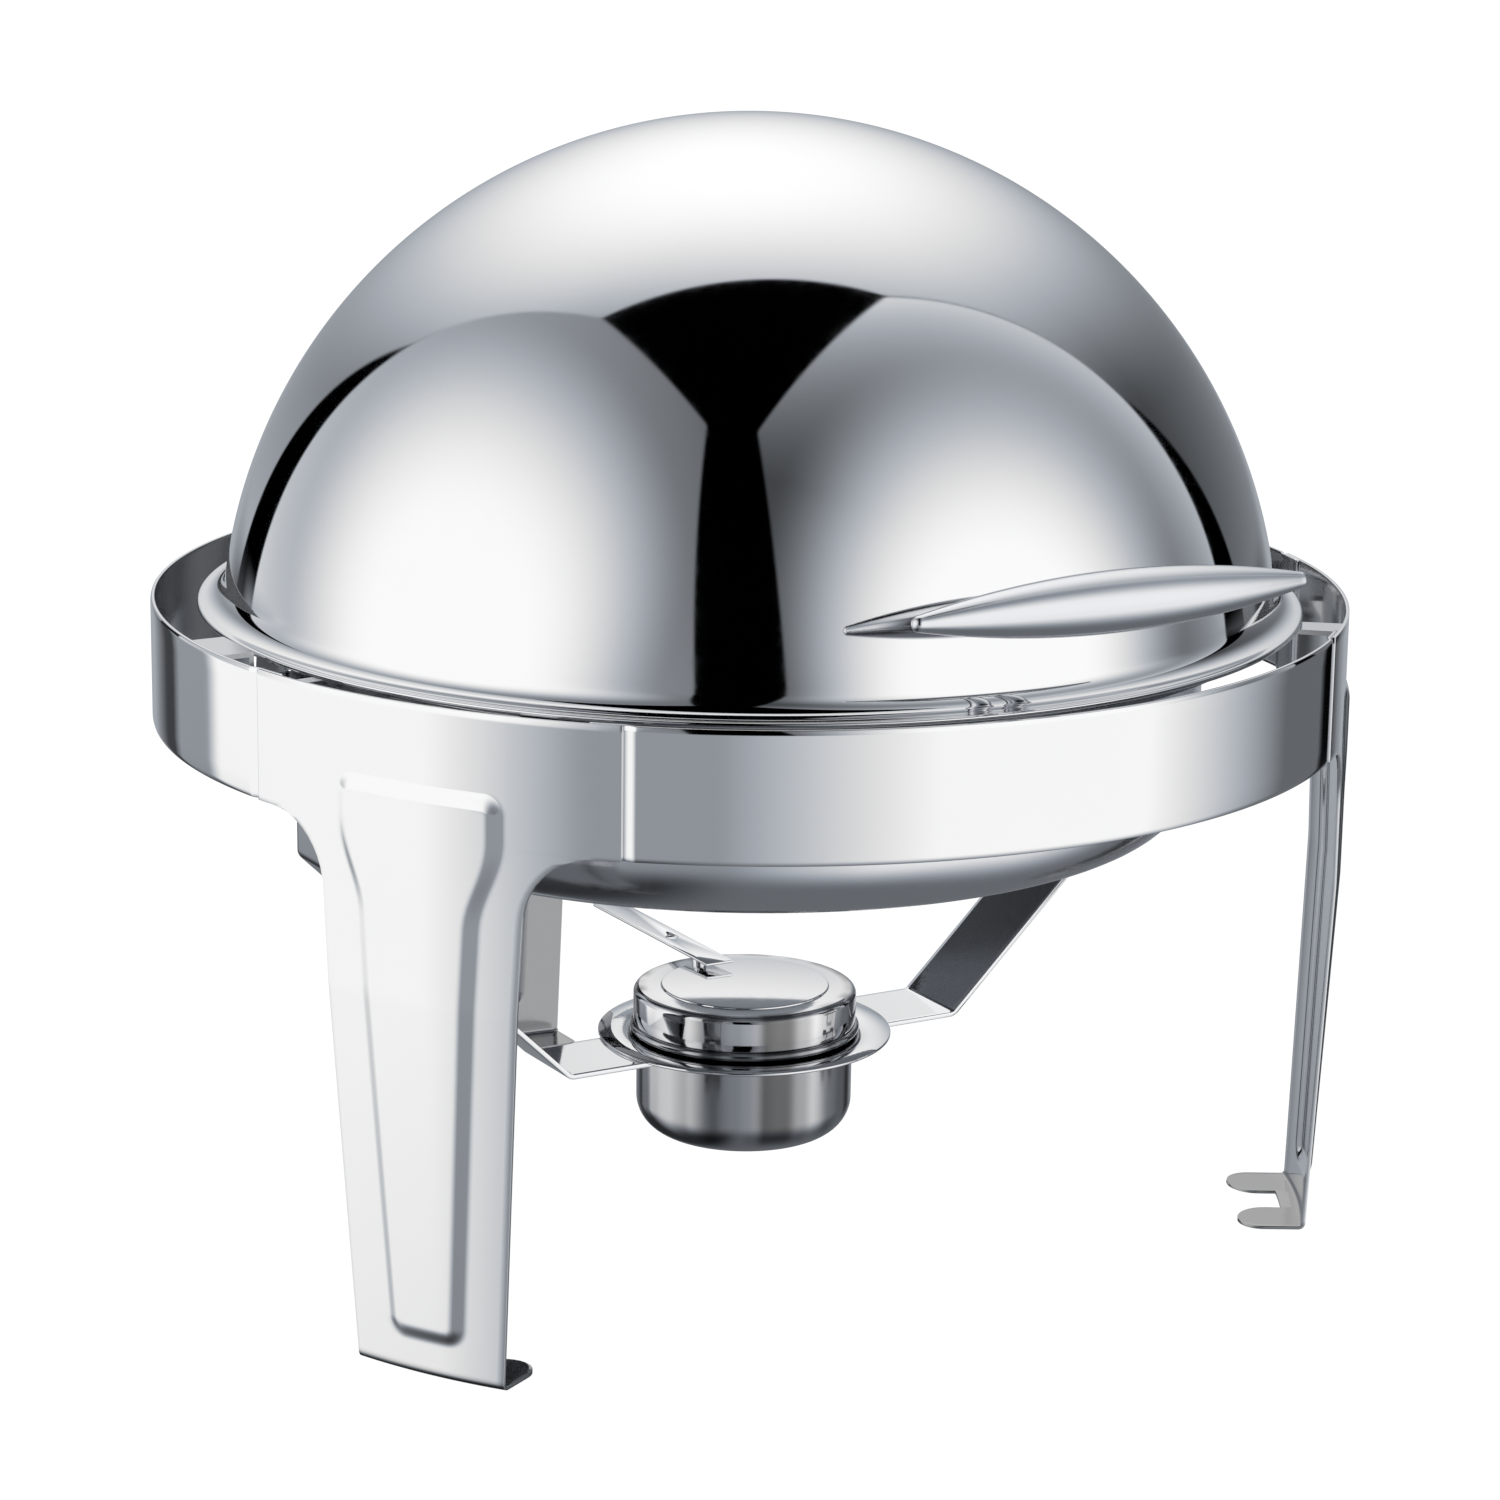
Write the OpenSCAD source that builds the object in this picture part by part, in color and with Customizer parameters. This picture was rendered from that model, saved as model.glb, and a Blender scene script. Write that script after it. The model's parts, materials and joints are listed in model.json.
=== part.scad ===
// Roll top chafer: a round food warmer on three sheet legs, with a domed hood that rolls back
// over the pans and a fuel cup that hangs below them.
// Millimetres. +X right, +Y back, +Z up. The origin is on the table, under the middle of the
// whole object's box. Azimuths run from the front (-Y) towards +X.

/* [Stand] */
// Outer radius of the round band
ring_r = 250; // [205:1:305]
// Height of the band's top edge above the table
stand_h = 271; // [225:1:330]
// Height of the band
band_h = 52; // [43:1:63]
// Thickness of the leg and band sheet
sheet_t = 1.4; // [1:0.1:2]
// Half of the angle that a leg's shoulders cover, degrees
shoulder_half = 19.3; // [17:0.1:23]
// Azimuths of the three legs
leg_azimuths = [-60, 60, 180];
// Width of a leg where it leaves the band
leg_top_w = 94; // [78:1:110]
// Width of a leg at the table
foot_w = 68; // [58:1:80]
// Radius of the blend between a leg and its shoulders
leg_fillet_r = 28; // [20:1:32]
// Height at which a leg starts to lean inwards
leg_bend_z = 155; // [120:1:180]
// How far a leg leans in at the table
leg_lean = 6.5; // [0:0.5:10]
// Inner radius is this plus the sheet at the bend between a leg and its foot
foot_bend_r = 3; // [2.5:0.1:5]
// Reach of the foot inwards from the leg's outer face
foot_depth = 29; // [25:1:34]
// Reach of the solid root of the foot, before its two prongs start
foot_root = 10; // [8:1:14]
// Gap between a foot's two prongs
prong_gap = 21; // [17:1:26]

/* [Pressed panel in each leg] */
// How far the panel stands out of the leg
panel_rise = 2.2; // [1.5:0.1:4]
// Half width of the panel's head
panel_head = 38.6; // [34:0.1:42]
// Plain margin beside the panel's shank
panel_margin = 16.5; // [13:0.5:20]
// Height of the panel's lower edge
panel_low = 14; // [10:1:25]
// Distance of the panel's upper edge below the band's top edge
panel_top_drop = 30; // [22:1:36]
// Radius of the panel's corners
panel_corner = 9; // [5:1:12]
// Height over which the head narrows to the shank
panel_neck = 36; // [30:1:44]

/* [Band joints] */
// Open seam between a leg's shoulder and the band
seam = 0.8; // [0.4:0.1:1.5]
// Length of the band's stepped end that lies behind a shoulder
lap = 13; // [8:1:18]
// Length of the step in the band's end
joggle = 5; // [3:0.5:8]

/* [Lid] */
// Clear gap between the band's inner face and the lid's brim
brim_gap = 17.6; // [12:0.1:22]
// Width of the brim outside the dome's sphere
brim_w = 9.8; // [8.5:0.1:12]
// Sheet thickness of the lid
lid_t = 1; // [0.8:0.1:1.4]
// Radius of the hollow blend between dome and brim
brim_blend_r = 9; // [7:0.5:10]
// Diameter of the rolled edge of the brim
brim_roll_d = 2.4; // [2:0.1:3]
// Depth of the pivot axis below the band's top edge
pivot_drop = 23.5; // [20:0.5:28]
// Height of the brim's upper face above the pivot axis
brim_up = 21.5; // [18:0.5:24]

/* [Handle] */
// Length of the spindle
handle_len = 175; // [146:1:210]
// Thickest diameter of the spindle
handle_d = 23.4; // [20:0.1:28]
// Diameter of the spindle's rounded ends
handle_end_d = 6.4; // [5:0.1:8]
// Distance from the dome's surface to the spindle's centre line
handle_standoff = 55.5; // [46:0.5:66]
// Angle of the spindle above the pivot axis, degrees
handle_angle = 14.6; // [12:0.1:20]
// Distance of each post from the spindle's middle
post_at = 9.5; // [8.5:0.5:30]
// Fall of the posts from the spindle to the dome, degrees
post_fall = 12; // [0:0.5:15]
// Diameter of a post
post_d = 10; // [9:0.5:12]
// Diameter of a post's foot on the dome
post_foot_d = 13; // [12:0.5:16]
// Height of a post's flared foot
post_foot_h = 9; // [7:1:12]

/* [Pivots] */
// Diameter of the pivot pin
pin_d = 8; // [6:0.5:9]
// Radial running clearance of the pin in the lid's ear
pin_fit = 0.05; // [0.02:0.01:0.1]
// Half width of the lid's ear
ear_half = 14; // [12:0.5:16]
// Thickness of the lid's ear
ear_t = 1.5; // [1:0.1:2]
// Height of the ear above the pivot axis
ear_up = 60; // [48:1:70]
// Half width of the pivot bracket
bracket_half = 15; // [12:0.5:17]
// Thickness of the bracket sheet
bracket_t = 2; // [1.5:0.1:3]
// Gap between the bracket and the lid's brim
bracket_gap = 2; // [1:0.5:4]
// Height of the bracket's flange on the band
bracket_flange = 24; // [18:1:25]
// Outer diameter of the spacer bush
bush_d = 14; // [12:0.5:18]
// Side play of an ear between its neighbours
ear_play = 0.4; // [0.3:0.1:1]

/* [Pans] */
// Gap between the lid's inner face and the water pan's rim
lid_pan_gap = 7; // [5:0.5:12]
// Width of the water pan's rim
water_rim_w = 23; // [19:1:28]
// Overall depth of the water pan
water_depth = 84.5; // [70:0.5:95]
// Corner radius of the water pan
water_corner = 25; // [20:1:32]
// Height of the water pan's seat above the pivot axis
seat_up = 13.5; // [10:0.5:14]
// Overall depth of the food pan
food_depth = 65; // [54:1:68]
// Corner radius of the food pan
food_corner = 22; // [16:1:28]
// Gap all round between the food pan and the water pan's wall
pan_wall_gap = 9; // [7:0.5:13]
// Width of the food pan's rim beyond its wall
food_rim_w = 17; // [14:0.5:20]
// Diameter of the food pan's rolled edge
food_roll_d = 3.2; // [2:0.1:4]
// Sheet thickness of the pans
pan_t = 0.9; // [0.7:0.1:1.2]

/* [Pan carrier] */
// Thickness of the carrier
carrier_t = 2; // [1.5:0.1:3]
// Gap between the carrier and the water pan's wall
carrier_gap = 3; // [2:0.5:5]
// Width of a carrier arm
arm_w = 16; // [13:1:18]
// Azimuth of the two side arms
side_arm_az = 84; // [83:0.5:84]
// Azimuth of the two front arms, which the closed lid rests on
front_arm_az = 50; // [47:1:54]
// Height of the weld tab at an arm's end
tab_h = 18; // [14:1:20]
// Gap left between the closed lid and the front arms
lid_rest_gap = 0.5; // [0.3:0.1:1]

/* [Burner] */
// Outer radius of the fuel cup
cup_r = 46.4; // [40:0.1:54]
// Depth of the fuel cup
cup_depth = 61; // [51:1:68]
// Corner radius of the fuel cup
cup_corner = 15; // [10:1:20]
// Sheet thickness of the cup and its lid
cup_t = 0.8; // [0.6:0.1:1]
// Gap between the cup's floor and the opened lid
lid_cup_gap = 2.4; // [2:0.1:6]
// Height of the cup's rim above the burner ring
cup_above = 16.6; // [13:0.1:20]
// Diameter of the cup's bead, which rests on the burner ring
cup_bead_d = 4; // [3:0.1:5]
// Radial gap between the cup and the burner ring
cup_hole_gap = 0.6; // [0.4:0.1:1.5]
// Width of the burner ring
burner_ring_w = 16; // [13:1:20]
// Thickness of the burner ring
burner_ring_t = 1.2; // [1:0.1:2]
// Width of the burner arms
strap_w = 40; // [33:1:40]
// Thickness of the burner arms
strap_t = 2; // [1.5:0.1:3]
// Length of the flat between the burner ring and the bend
strap_flat = 31; // [25:1:38]
// Depth below the pivot axis of the bend where a burner arm turns upright
hanger_drop = 72; // [60:0.5:86]
// Distance from the carrier's inner edge to the outer face of a burner arm's upright
hanger_in = 6.8; // [5.5:0.1:9]

/* [Cup lid] */
// Radial gap between the cup and its lid
cup_lid_gap = 0.7; // [0.4:0.1:1]
// Height of the cup lid's skirt
skirt_h = 15.2; // [12:0.1:19]
// Radius of the cup lid's upper edge
cup_lid_edge_r = 3; // [2:0.5:4]
// Radius of the raised disc in the cup lid's top
cup_disc_r = 36; // [30:0.5:38]
// Height of the raised disc
cup_disc_rise = 0.8; // [0.5:0.1:1.5]
// Width of the cup lid's handle strip
strip_w = 13; // [11:0.5:16]
// Thickness of the strip
strip_t = 1.2; // [1:0.1:2]
// Gap between the strip and the raised disc
strip_gap = 2.2; // [1:0.1:4]
// Where the strip starts, behind the cup's centre
strip_from = 22; // [18:1:26]
// Length of the strip
strip_len = 105; // [87:1:126]
// Where the hanging hole is, behind the cup's centre
strip_hole_y = 65; // [58:1:78]
// Diameter of the hanging hole
strip_hole_d = 5.5; // [4:0.5:7]
// Diameter of the stud that carries the strip
stud_d = 6; // [5:0.5:8]

/* [Hidden] */
$fn = 96;
eps = 0.01;

// Stand
face_r = ring_r - sheet_t;
band_z0 = stand_h - band_h;
pivot_z = stand_h - pivot_drop;
foot_r = ring_r - leg_lean;
shoulder_x = ring_r * sin(shoulder_half);
leg_slope = (leg_top_w - foot_w) / 2 / (band_z0 - foot_bend_r);
prong_w = (foot_w - prong_gap) / 2;
deg_per_mm = 180 / (PI * ring_r);

// Lid, measured from the pivot axis
brim_r = face_r - brim_gap;
dome_r = brim_r - brim_w;
dome_in = dome_r - lid_t;
blend_z = brim_up + brim_blend_r;
blend_x = sqrt(pow(dome_r + brim_blend_r, 2) - blend_z * blend_z);
brim_low = brim_up - brim_roll_d;

// Handle
handle_rad = dome_r + handle_standoff;
handle_y = -handle_rad * cos(handle_angle);
handle_z = handle_rad * sin(handle_angle);
handle_arc = (pow(handle_len / 2 - handle_end_d / 2, 2) + pow((handle_d - handle_end_d) / 2, 2))
             / (handle_d - handle_end_d);
post_toward = handle_y * cos(post_fall) - handle_z * sin(post_fall);
screw_d = 6;
screw_fit = 0.1;
screw_in = 16;
screw_head_d = 11;
screw_head_h = 3.5;
washer_d = 16;
washer_t = 1.2;
washer_in = dome_in - washer_t;

// Pivots
ear_r1 = dome_in;
ear_r0 = dome_in - ear_t;
web_x = brim_r + bracket_gap;
pin_head_d = 14;
pin_head_t = 2.2;
nut_af = 13;
nut_h = 5;
bush_x0 = ear_r1 + ear_play;
pin_head_x = sqrt(ear_r0 * ear_r0 - pow(pin_head_d / 2, 2)) - ear_play;

// Pans, measured from the pivot axis
water_rim_r = dome_in - lid_pan_gap;
water_r = water_rim_r - water_rim_w;
water_z0 = seat_up + pan_t - water_depth;
food_r = water_r - pan_t - pan_wall_gap;
food_rim_r = food_r + food_rim_w;
food_seat = seat_up + pan_t;
food_z0 = food_seat + pan_t - food_depth;

// Carrier
carrier_r0 = water_r + carrier_gap;
carrier_r1 = water_rim_r + 1;
rest_up = brim_low - lid_rest_gap;
rest_r = dome_r + 1;

// Burner: the cup's floor just clears the opened lid's sphere
cup_flat_r = cup_r - cup_corner;
cup_z0 = pivot_z - sqrt(pow(dome_in - lid_cup_gap, 2) - cup_flat_r * cup_flat_r);
cup_z1 = cup_z0 + cup_depth;
burner_top = cup_z1 - cup_above;
burner_z = burner_top - burner_ring_t;
hole_r = cup_r + cup_hole_gap;
burner_ring_r = hole_r + burner_ring_w;
bend_x = burner_ring_r + strap_flat;
hanger_x = carrier_r0 + hanger_in;
hanger_z = pivot_z - hanger_drop;
hanger_top = pivot_z + seat_up - carrier_t;

// Cup lid
skirt_in = cup_r + cup_lid_gap;
skirt_out = skirt_in + cup_t;
skirt_z0 = burner_top + cup_bead_d + 0.2;
cup_lid_top = skirt_z0 + skirt_h;
disc_top = cup_lid_top + cup_disc_rise;
strip_z = disc_top + strip_gap;
stud_y = (cup_disc_r + skirt_out - cup_lid_edge_r) / 2;

// The ring's centre, set back so that the whole object's box is centred on the origin
ring_y = (handle_d / 2 - handle_y - ring_r - panel_rise) / 2;

module placed() {
    translate([0, ring_y, 0]) children();
}

module at_pivot() {
    translate([0, ring_y, pivot_z]) children();
}

// Part of a ring about the vertical axis, from azimuth a0 to a1, of a profile in (radius, height)
module sector(a0, a1) {
    rotate([0, 0, a0 - 90]) rotate_extrude(angle = a1 - a0, $fn = 180) children();
}

// A front view outline, pushed through the front half of the stand
module through_front() {
    rotate([90, 0, 0]) linear_extrude(ring_r + 2 * foot_depth) children();
}

module mirrored_pair() {
    children();
    mirror([1, 0, 0]) children();
}

// ---- Legs ----

function leg_half(z) = foot_w / 2 + leg_slope * (z - foot_bend_r);

// Front view of a leg: shoulders over the full band, blended into the tapering leg
module leg_outline() {
    tilt = atan(leg_slope);
    fillet_z = band_z0 - leg_fillet_r;
    fillet_x = leg_half(fillet_z) + leg_fillet_r / cos(tilt);
    translate([-shoulder_x, band_z0]) square([2 * shoulder_x, band_h]);
    polygon([[-leg_half(foot_bend_r), foot_bend_r], [leg_half(foot_bend_r), foot_bend_r],
             [leg_half(band_z0 + eps), band_z0 + eps], [-leg_half(band_z0 + eps), band_z0 + eps]]);
    mirrored_pair() difference() {
        polygon([[leg_half(fillet_z) - 1, fillet_z], [fillet_x, fillet_z],
                 [fillet_x, band_z0 + eps], [leg_half(band_z0) - 1, band_z0 + eps]]);
        translate([fillet_x, fillet_z]) circle(leg_fillet_r);
    }
}

// Wall of a leg as (radius, height), between two offsets from its outer face
module wall_profile(outer, inner) {
    polygon([[foot_r + outer, foot_bend_r], [ring_r + outer, leg_bend_z],
             [ring_r + outer, stand_h], [ring_r + inner, stand_h],
             [ring_r + inner, leg_bend_z], [foot_r + inner, foot_bend_r]]);
}

// Half width of the pressed panel at a height, easing from the shank to the head
function ease(t) = (1 - cos(180 * min(max(t, 0), 1))) / 2;
panel_top = stand_h - panel_top_drop;
neck_top = panel_top - 2 * panel_corner;
function panel_half(z) = let (shank = leg_half(z) - panel_margin)
    shank + (panel_head - shank) * ease((z - neck_top + panel_neck) / panel_neck);

function corner(cx, cz, r, a0, a1) = [for (i = [0:5])
    [cx + r * cos(a0 + (a1 - a0) * i / 5), cz + r * sin(a0 + (a1 - a0) * i / 5)]];

module panel_outline(inset) {
    low = panel_low + inset;
    top = panel_top - inset;
    r = panel_corner - inset;
    side = concat(
        corner(panel_half(low + r) - inset - r, low + r, r, -90, 0),
        [for (i = [0:10]) let (z = neck_top - panel_neck * (1 - i / 10)) [panel_half(z) - inset, z]],
        corner(panel_half(top) - inset - r, top - r, r, 0, 90));
    polygon(concat(side, [for (i = [len(side) - 1:-1:0]) [-side[i].x, side[i].y]]));
}

// Section of a leg's sheet: wall, bend and turned-in foot
module leg_section() {
    wall_profile(0, -sheet_t);
    translate([foot_r - foot_bend_r, foot_bend_r]) intersection() {
        difference() {
            circle(foot_bend_r);
            circle(foot_bend_r - sheet_t);
        }
        translate([0, -foot_bend_r]) square(foot_bend_r);
    }
    translate([foot_r - foot_depth - 2, 0]) square([foot_depth + 2 - foot_bend_r, sheet_t]);
}

// Plan view of a foot: a solid root with two rounded prongs
module foot_outline() {
    mirrored_pair() translate([(foot_w - prong_w) / 2, 0]) {
        translate([0, -foot_r + foot_depth - prong_w / 2]) circle(prong_w / 2);
        translate([-prong_w / 2, -foot_r - 2]) square([prong_w, foot_depth - prong_w / 2 + 2]);
    }
    translate([-foot_w / 2, -foot_r - 2]) square([foot_w, foot_root + 2]);
}

module leg(az) {
    placed() rotate([0, 0, az]) difference() {
        union() {
            intersection() {
                sector(-shoulder_half - 5, shoulder_half + 5) leg_section();
                union() {
                    through_front() leg_outline();
                    translate([0, 0, -1]) linear_extrude(foot_bend_r + 1) foot_outline();
                }
            }
            intersection() {
                sector(-shoulder_half, shoulder_half) wall_profile(panel_rise, -sheet_t / 2);
                through_front() panel_outline(0);
            }
        }
        intersection() {
            sector(-shoulder_half, shoulder_half)
                wall_profile(panel_rise - sheet_t, -sheet_t - 1);
            through_front() panel_outline(sheet_t);
        }
    }
}

module front_left_leg() {
    color("gainsboro") leg(leg_azimuths[0]);
}

module front_right_leg() {
    color("gainsboro") leg(leg_azimuths[1]);
}

module rear_leg() {
    color("gainsboro") leg(leg_azimuths[2]);
}

// ---- Band, in three lengths whose stepped ends lie behind the legs' shoulders ----

// Plan view of a piece of ring from azimuth a0 to a1
module arc(a0, a1, r_out, r_in) {
    middle = (a0 + a1) / 2;
    far = 2 * r_out;
    intersection() {
        difference() {
            circle(r_out, $fn = 180);
            circle(r_in, $fn = 180);
        }
        polygon([[0, 0], for (a = [a0, middle, a1]) [far * sin(a), -far * cos(a)]]);
    }
}

module band(leg_a, leg_b) {
    a0 = leg_a + shoulder_half + seam * deg_per_mm;
    a1 = leg_b - shoulder_half - seam * deg_per_mm;
    step = joggle * deg_per_mm;
    tuck = (lap + seam) * deg_per_mm;
    color("silver") placed() translate([0, 0, band_z0]) linear_extrude(band_h) {
        arc(a0, a1, ring_r, face_r);
        arc(a0 - tuck, a0 + step, face_r, face_r - sheet_t);
        arc(a1 - step, a1 + tuck, face_r, face_r - sheet_t);
    }
}

module front_band() {
    band(leg_azimuths[0], leg_azimuths[1]);
}

module right_band() {
    band(leg_azimuths[1], leg_azimuths[2]);
}

module left_band() {
    band(leg_azimuths[2] - 360, leg_azimuths[0]);
}

// ---- Pivot hardware on the stand, drawn for the right-hand side ----

module across(x0, x1, d) {
    translate([x0, 0, 0]) rotate([0, 90, 0]) cylinder(d = d, h = x1 - x0);
}

module pivot_bracket() {
    top = pivot_drop - 1;
    difference() {
        intersection() {
            union() {
                translate([web_x, -bracket_half, top - bracket_t])
                    cube([ring_r - web_x, 2 * bracket_half, bracket_t]);
                translate([web_x, -bracket_half, 0]) cube([bracket_t, 2 * bracket_half, top]);
                across(web_x, web_x + bracket_t, 2 * bracket_half);
                intersection() {
                    sector(80, 100) translate([face_r - bracket_t, top - bracket_flange])
                        square([bracket_t, bracket_flange]);
                    translate([0, -bracket_half, -band_h]) cube([ring_r, 2 * bracket_half, 2 * band_h]);
                }
            }
            translate([0, 0, -band_h]) cylinder(r = face_r, h = 2 * band_h, $fn = 180);
        }
        across(web_x - 1, web_x + bracket_t + 1, pin_d + 2 * pin_fit);
    }
}

module left_pivot_bracket() {
    color("lightgray") at_pivot() mirror([1, 0, 0]) pivot_bracket();
}

module right_pivot_bracket() {
    color("lightgray") at_pivot() pivot_bracket();
}

module pivot_pins() {
    color("gray") at_pivot() mirrored_pair() {
        across(pin_head_x - pin_head_t, pin_head_x, pin_head_d);
        across(pin_head_x - eps, web_x + bracket_t + nut_h + 1, pin_d);
    }
}

module pivot_bushes() {
    color("lightgray") at_pivot() mirrored_pair() difference() {
        across(bush_x0, web_x, bush_d);
        across(bush_x0 - 1, web_x + 1, pin_d + 2 * pin_fit);
    }
}

module pivot_nuts() {
    color("gray") at_pivot() mirrored_pair() difference() {
        translate([web_x + bracket_t, 0, 0]) rotate([0, 90, 0])
            cylinder(d = nut_af / cos(30), h = nut_h, $fn = 6);
        across(web_x, web_x + bracket_t + nut_h + 1, pin_d + 2 * pin_fit);
    }
}

// ---- Pan carrier: a ring under the water pan's rim, on four arms ----

module slab(z0, z1) {
    translate([0, 0, z0]) linear_extrude(z1 - z0) children();
}

module arm_arc(az, r_out, r_in) {
    half = arm_w / 2 * deg_per_mm;
    arc(az - half, az + half, r_out, r_in);
}

module pan_carrier() {
    low = seat_up - carrier_t;
    shelf = rest_up - carrier_t;
    riser_r = rest_r + carrier_t;
    color("lightgray") at_pivot() {
        slab(low, seat_up) {
            difference() {
                circle(carrier_r1, $fn = 180);
                circle(carrier_r0, $fn = 180);
            }
            for (side = [-1, 1]) {
                arm_arc(side * side_arm_az, face_r, carrier_r1 - 2);
                arm_arc(side * front_arm_az, riser_r, carrier_r1 - 2);
            }
        }
        for (side = [-1, 1]) {
            slab(low - tab_h, low) arm_arc(side * side_arm_az, face_r, face_r - carrier_t);
            slab(seat_up, shelf) arm_arc(side * front_arm_az, riser_r, rest_r);
            slab(shelf, rest_up) arm_arc(side * front_arm_az, face_r, rest_r);
            slab(shelf - tab_h, shelf) arm_arc(side * front_arm_az, face_r, face_r - carrier_t);
        }
    }
}

// ---- Pans ----

// Half profile of a round pan: floor, corner, wall and flat rim
module pan_profile(r, z0, z1, corner_r, rim_r) {
    translate([0, z0]) square([r - corner_r, pan_t]);
    translate([r - corner_r, z0 + corner_r]) intersection() {
        difference() {
            circle(corner_r);
            circle(corner_r - pan_t);
        }
        translate([0, -corner_r]) square(corner_r);
    }
    translate([r - pan_t, z0 + corner_r]) square([pan_t, z1 - z0 - corner_r]);
    translate([r - pan_t, z1 - pan_t]) square([rim_r - r + pan_t, pan_t]);
}

module water_pan() {
    color("silver") at_pivot() rotate_extrude($fn = 180)
        pan_profile(water_r, water_z0, seat_up + pan_t, water_corner, water_rim_r);
}

module food_pan() {
    color("whitesmoke") at_pivot() rotate_extrude($fn = 180) {
        pan_profile(food_r, food_z0, food_seat + pan_t, food_corner,
                    food_rim_r - food_roll_d / 2);
        translate([food_rim_r - food_roll_d / 2, food_seat + food_roll_d / 2])
            circle(d = food_roll_d, $fn = 32);
    }
}

// ---- Lid ----

module lid_profile() {
    far = 2 * dome_r;
    toward = atan2(blend_z, blend_x);
    meet = toward - 0.05;
    // Dome
    intersection() {
        difference() {
            circle(dome_r, $fn = 360);
            circle(dome_in, $fn = 360);
        }
        polygon([[0, 0], [far * cos(meet), far * sin(meet)], [far, far], [0, far]]);
    }
    // Hollow blend
    translate([blend_x, blend_z]) intersection() {
        difference() {
            circle(brim_blend_r + lid_t);
            circle(brim_blend_r);
        }
        polygon([[0, 0], [-far * cos(toward), -far * sin(toward)], [0, -far]]);
    }
    // Brim and its rolled edge
    translate([blend_x - eps, brim_up - lid_t])
        square([brim_r - brim_roll_d / 2 - blend_x + eps, lid_t]);
    translate([brim_r - brim_roll_d / 2, brim_up - brim_roll_d / 2])
        circle(d = brim_roll_d, $fn = 32);
}

module lid_shell() {
    color("silver") at_pivot() difference() {
        rotate_extrude($fn = 180) lid_profile();
        mirrored_pair() screw_hole();
    }
}

// Ear: a strip of the dome's own curve, welded inside it and bored for the pivot pin
module lid_ear() {
    difference() {
        intersection() {
            difference() {
                sphere(ear_r1, $fn = 180);
                sphere(ear_r0, $fn = 180);
            }
            rotate([90, 0, 90]) linear_extrude(dome_r) union() {
                circle(ear_half);
                translate([-ear_half, 0]) square([2 * ear_half, ear_up - ear_half]);
                translate([0, ear_up - ear_half]) circle(ear_half);
            }
        }
        across(ear_r0 - 5, ear_r1 + 5, pin_d + 2 * pin_fit);
    }
}

module left_lid_ear() {
    color("lightgray") at_pivot() mirror([1, 0, 0]) lid_ear();
}

module right_lid_ear() {
    color("lightgray") at_pivot() lid_ear();
}

// ---- Handle ----

// Distance along a post from the spindle's axis to a sphere about the pivot axis
function reach(r) = -post_toward - sqrt(post_toward * post_toward
    - (post_at * post_at + handle_rad * handle_rad - r * r));

// Stands the Z axis along the right-hand post, from the spindle's axis to the dome
module along_post() {
    translate([post_at, handle_y, handle_z]) rotate([-90 - post_fall, 0, 0]) children();
}

module screw_hole() {
    from = reach(dome_r) - screw_in;
    along_post() translate([0, 0, from]) cylinder(d = screw_d + 2 * screw_fit, h = screw_in + 10);
}

// Spindle and its two posts, one casting
module handle() {
    post_h = reach(dome_r);
    color("gainsboro") at_pivot() difference() {
        union() {
            translate([0, handle_y, handle_z]) rotate([0, 90, 0]) {
                rotate_extrude() intersection() {
                    translate([handle_d / 2 - handle_arc, 0]) circle(handle_arc, $fn = 360);
                    translate([0, -(handle_len - handle_end_d) / 2])
                        square([handle_d, handle_len - handle_end_d]);
                }
                for (end = [-1, 1])
                    translate([0, 0, end * (handle_len - handle_end_d) / 2])
                        sphere(d = handle_end_d, $fn = 48);
            }
            mirrored_pair() along_post() rotate_extrude()
                polygon([[0, 0], [post_d / 2, 0], [post_d / 2, post_h - post_foot_h],
                         [post_foot_d / 2, post_h], [post_foot_d / 2, post_h + 5], [0, post_h + 5]]);
        }
        sphere(dome_r + 0.02, $fn = 180);
        mirrored_pair() screw_hole();
    }
}

module handle_screws() {
    color("gray") at_pivot() mirrored_pair() {
        along_post() translate([0, 0, reach(dome_r) - screw_in + 1])
            cylinder(d = screw_d, h = screw_in + 3);
        intersection() {
            along_post() translate([0, 0, reach(dome_r)])
                cylinder(d = screw_head_d, h = screw_head_h + lid_t + washer_t);
            sphere(washer_in, $fn = 180);
        }
    }
}

// Dished washers that follow the dome's inner face
module handle_washers() {
    color("lightgray") at_pivot() mirrored_pair() intersection() {
        difference() {
            sphere(dome_in, $fn = 180);
            sphere(washer_in, $fn = 180);
        }
        along_post() translate([0, 0, reach(dome_r) - 5]) difference() {
            cylinder(d = washer_d, h = 15);
            translate([0, 0, -1]) cylinder(d = screw_d + 2 * screw_fit, h = 17);
        }
    }
}

// ---- Burner ----

// A flat under the burner ring, a slope, and an upright that hangs from the pan carrier
module burner_arm() {
    slant = atan2(hanger_z - burner_z, hanger_x - strap_t - bend_x);
    flat_shift = strap_t * tan(slant / 2);
    upright_shift = strap_t * tan(45 - slant / 2);
    inner_x = hanger_x - strap_t;
    difference() {
        rotate([90, 0, 0]) translate([0, 0, -strap_w / 2]) linear_extrude(strap_w)
            polygon([[hole_r - 4, burner_z - strap_t], [bend_x + flat_shift, burner_z - strap_t],
                     [hanger_x, hanger_z - upright_shift], [hanger_x, hanger_top],
                     [inner_x, hanger_top], [inner_x, hanger_z],
                     [bend_x, burner_z], [hole_r - 4, burner_z]]);
        cylinder(r = hole_r, h = stand_h);
    }
}

module left_burner_arm() {
    color("silver") placed() mirror([1, 0, 0]) burner_arm();
}

module right_burner_arm() {
    color("silver") placed() burner_arm();
}

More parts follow.
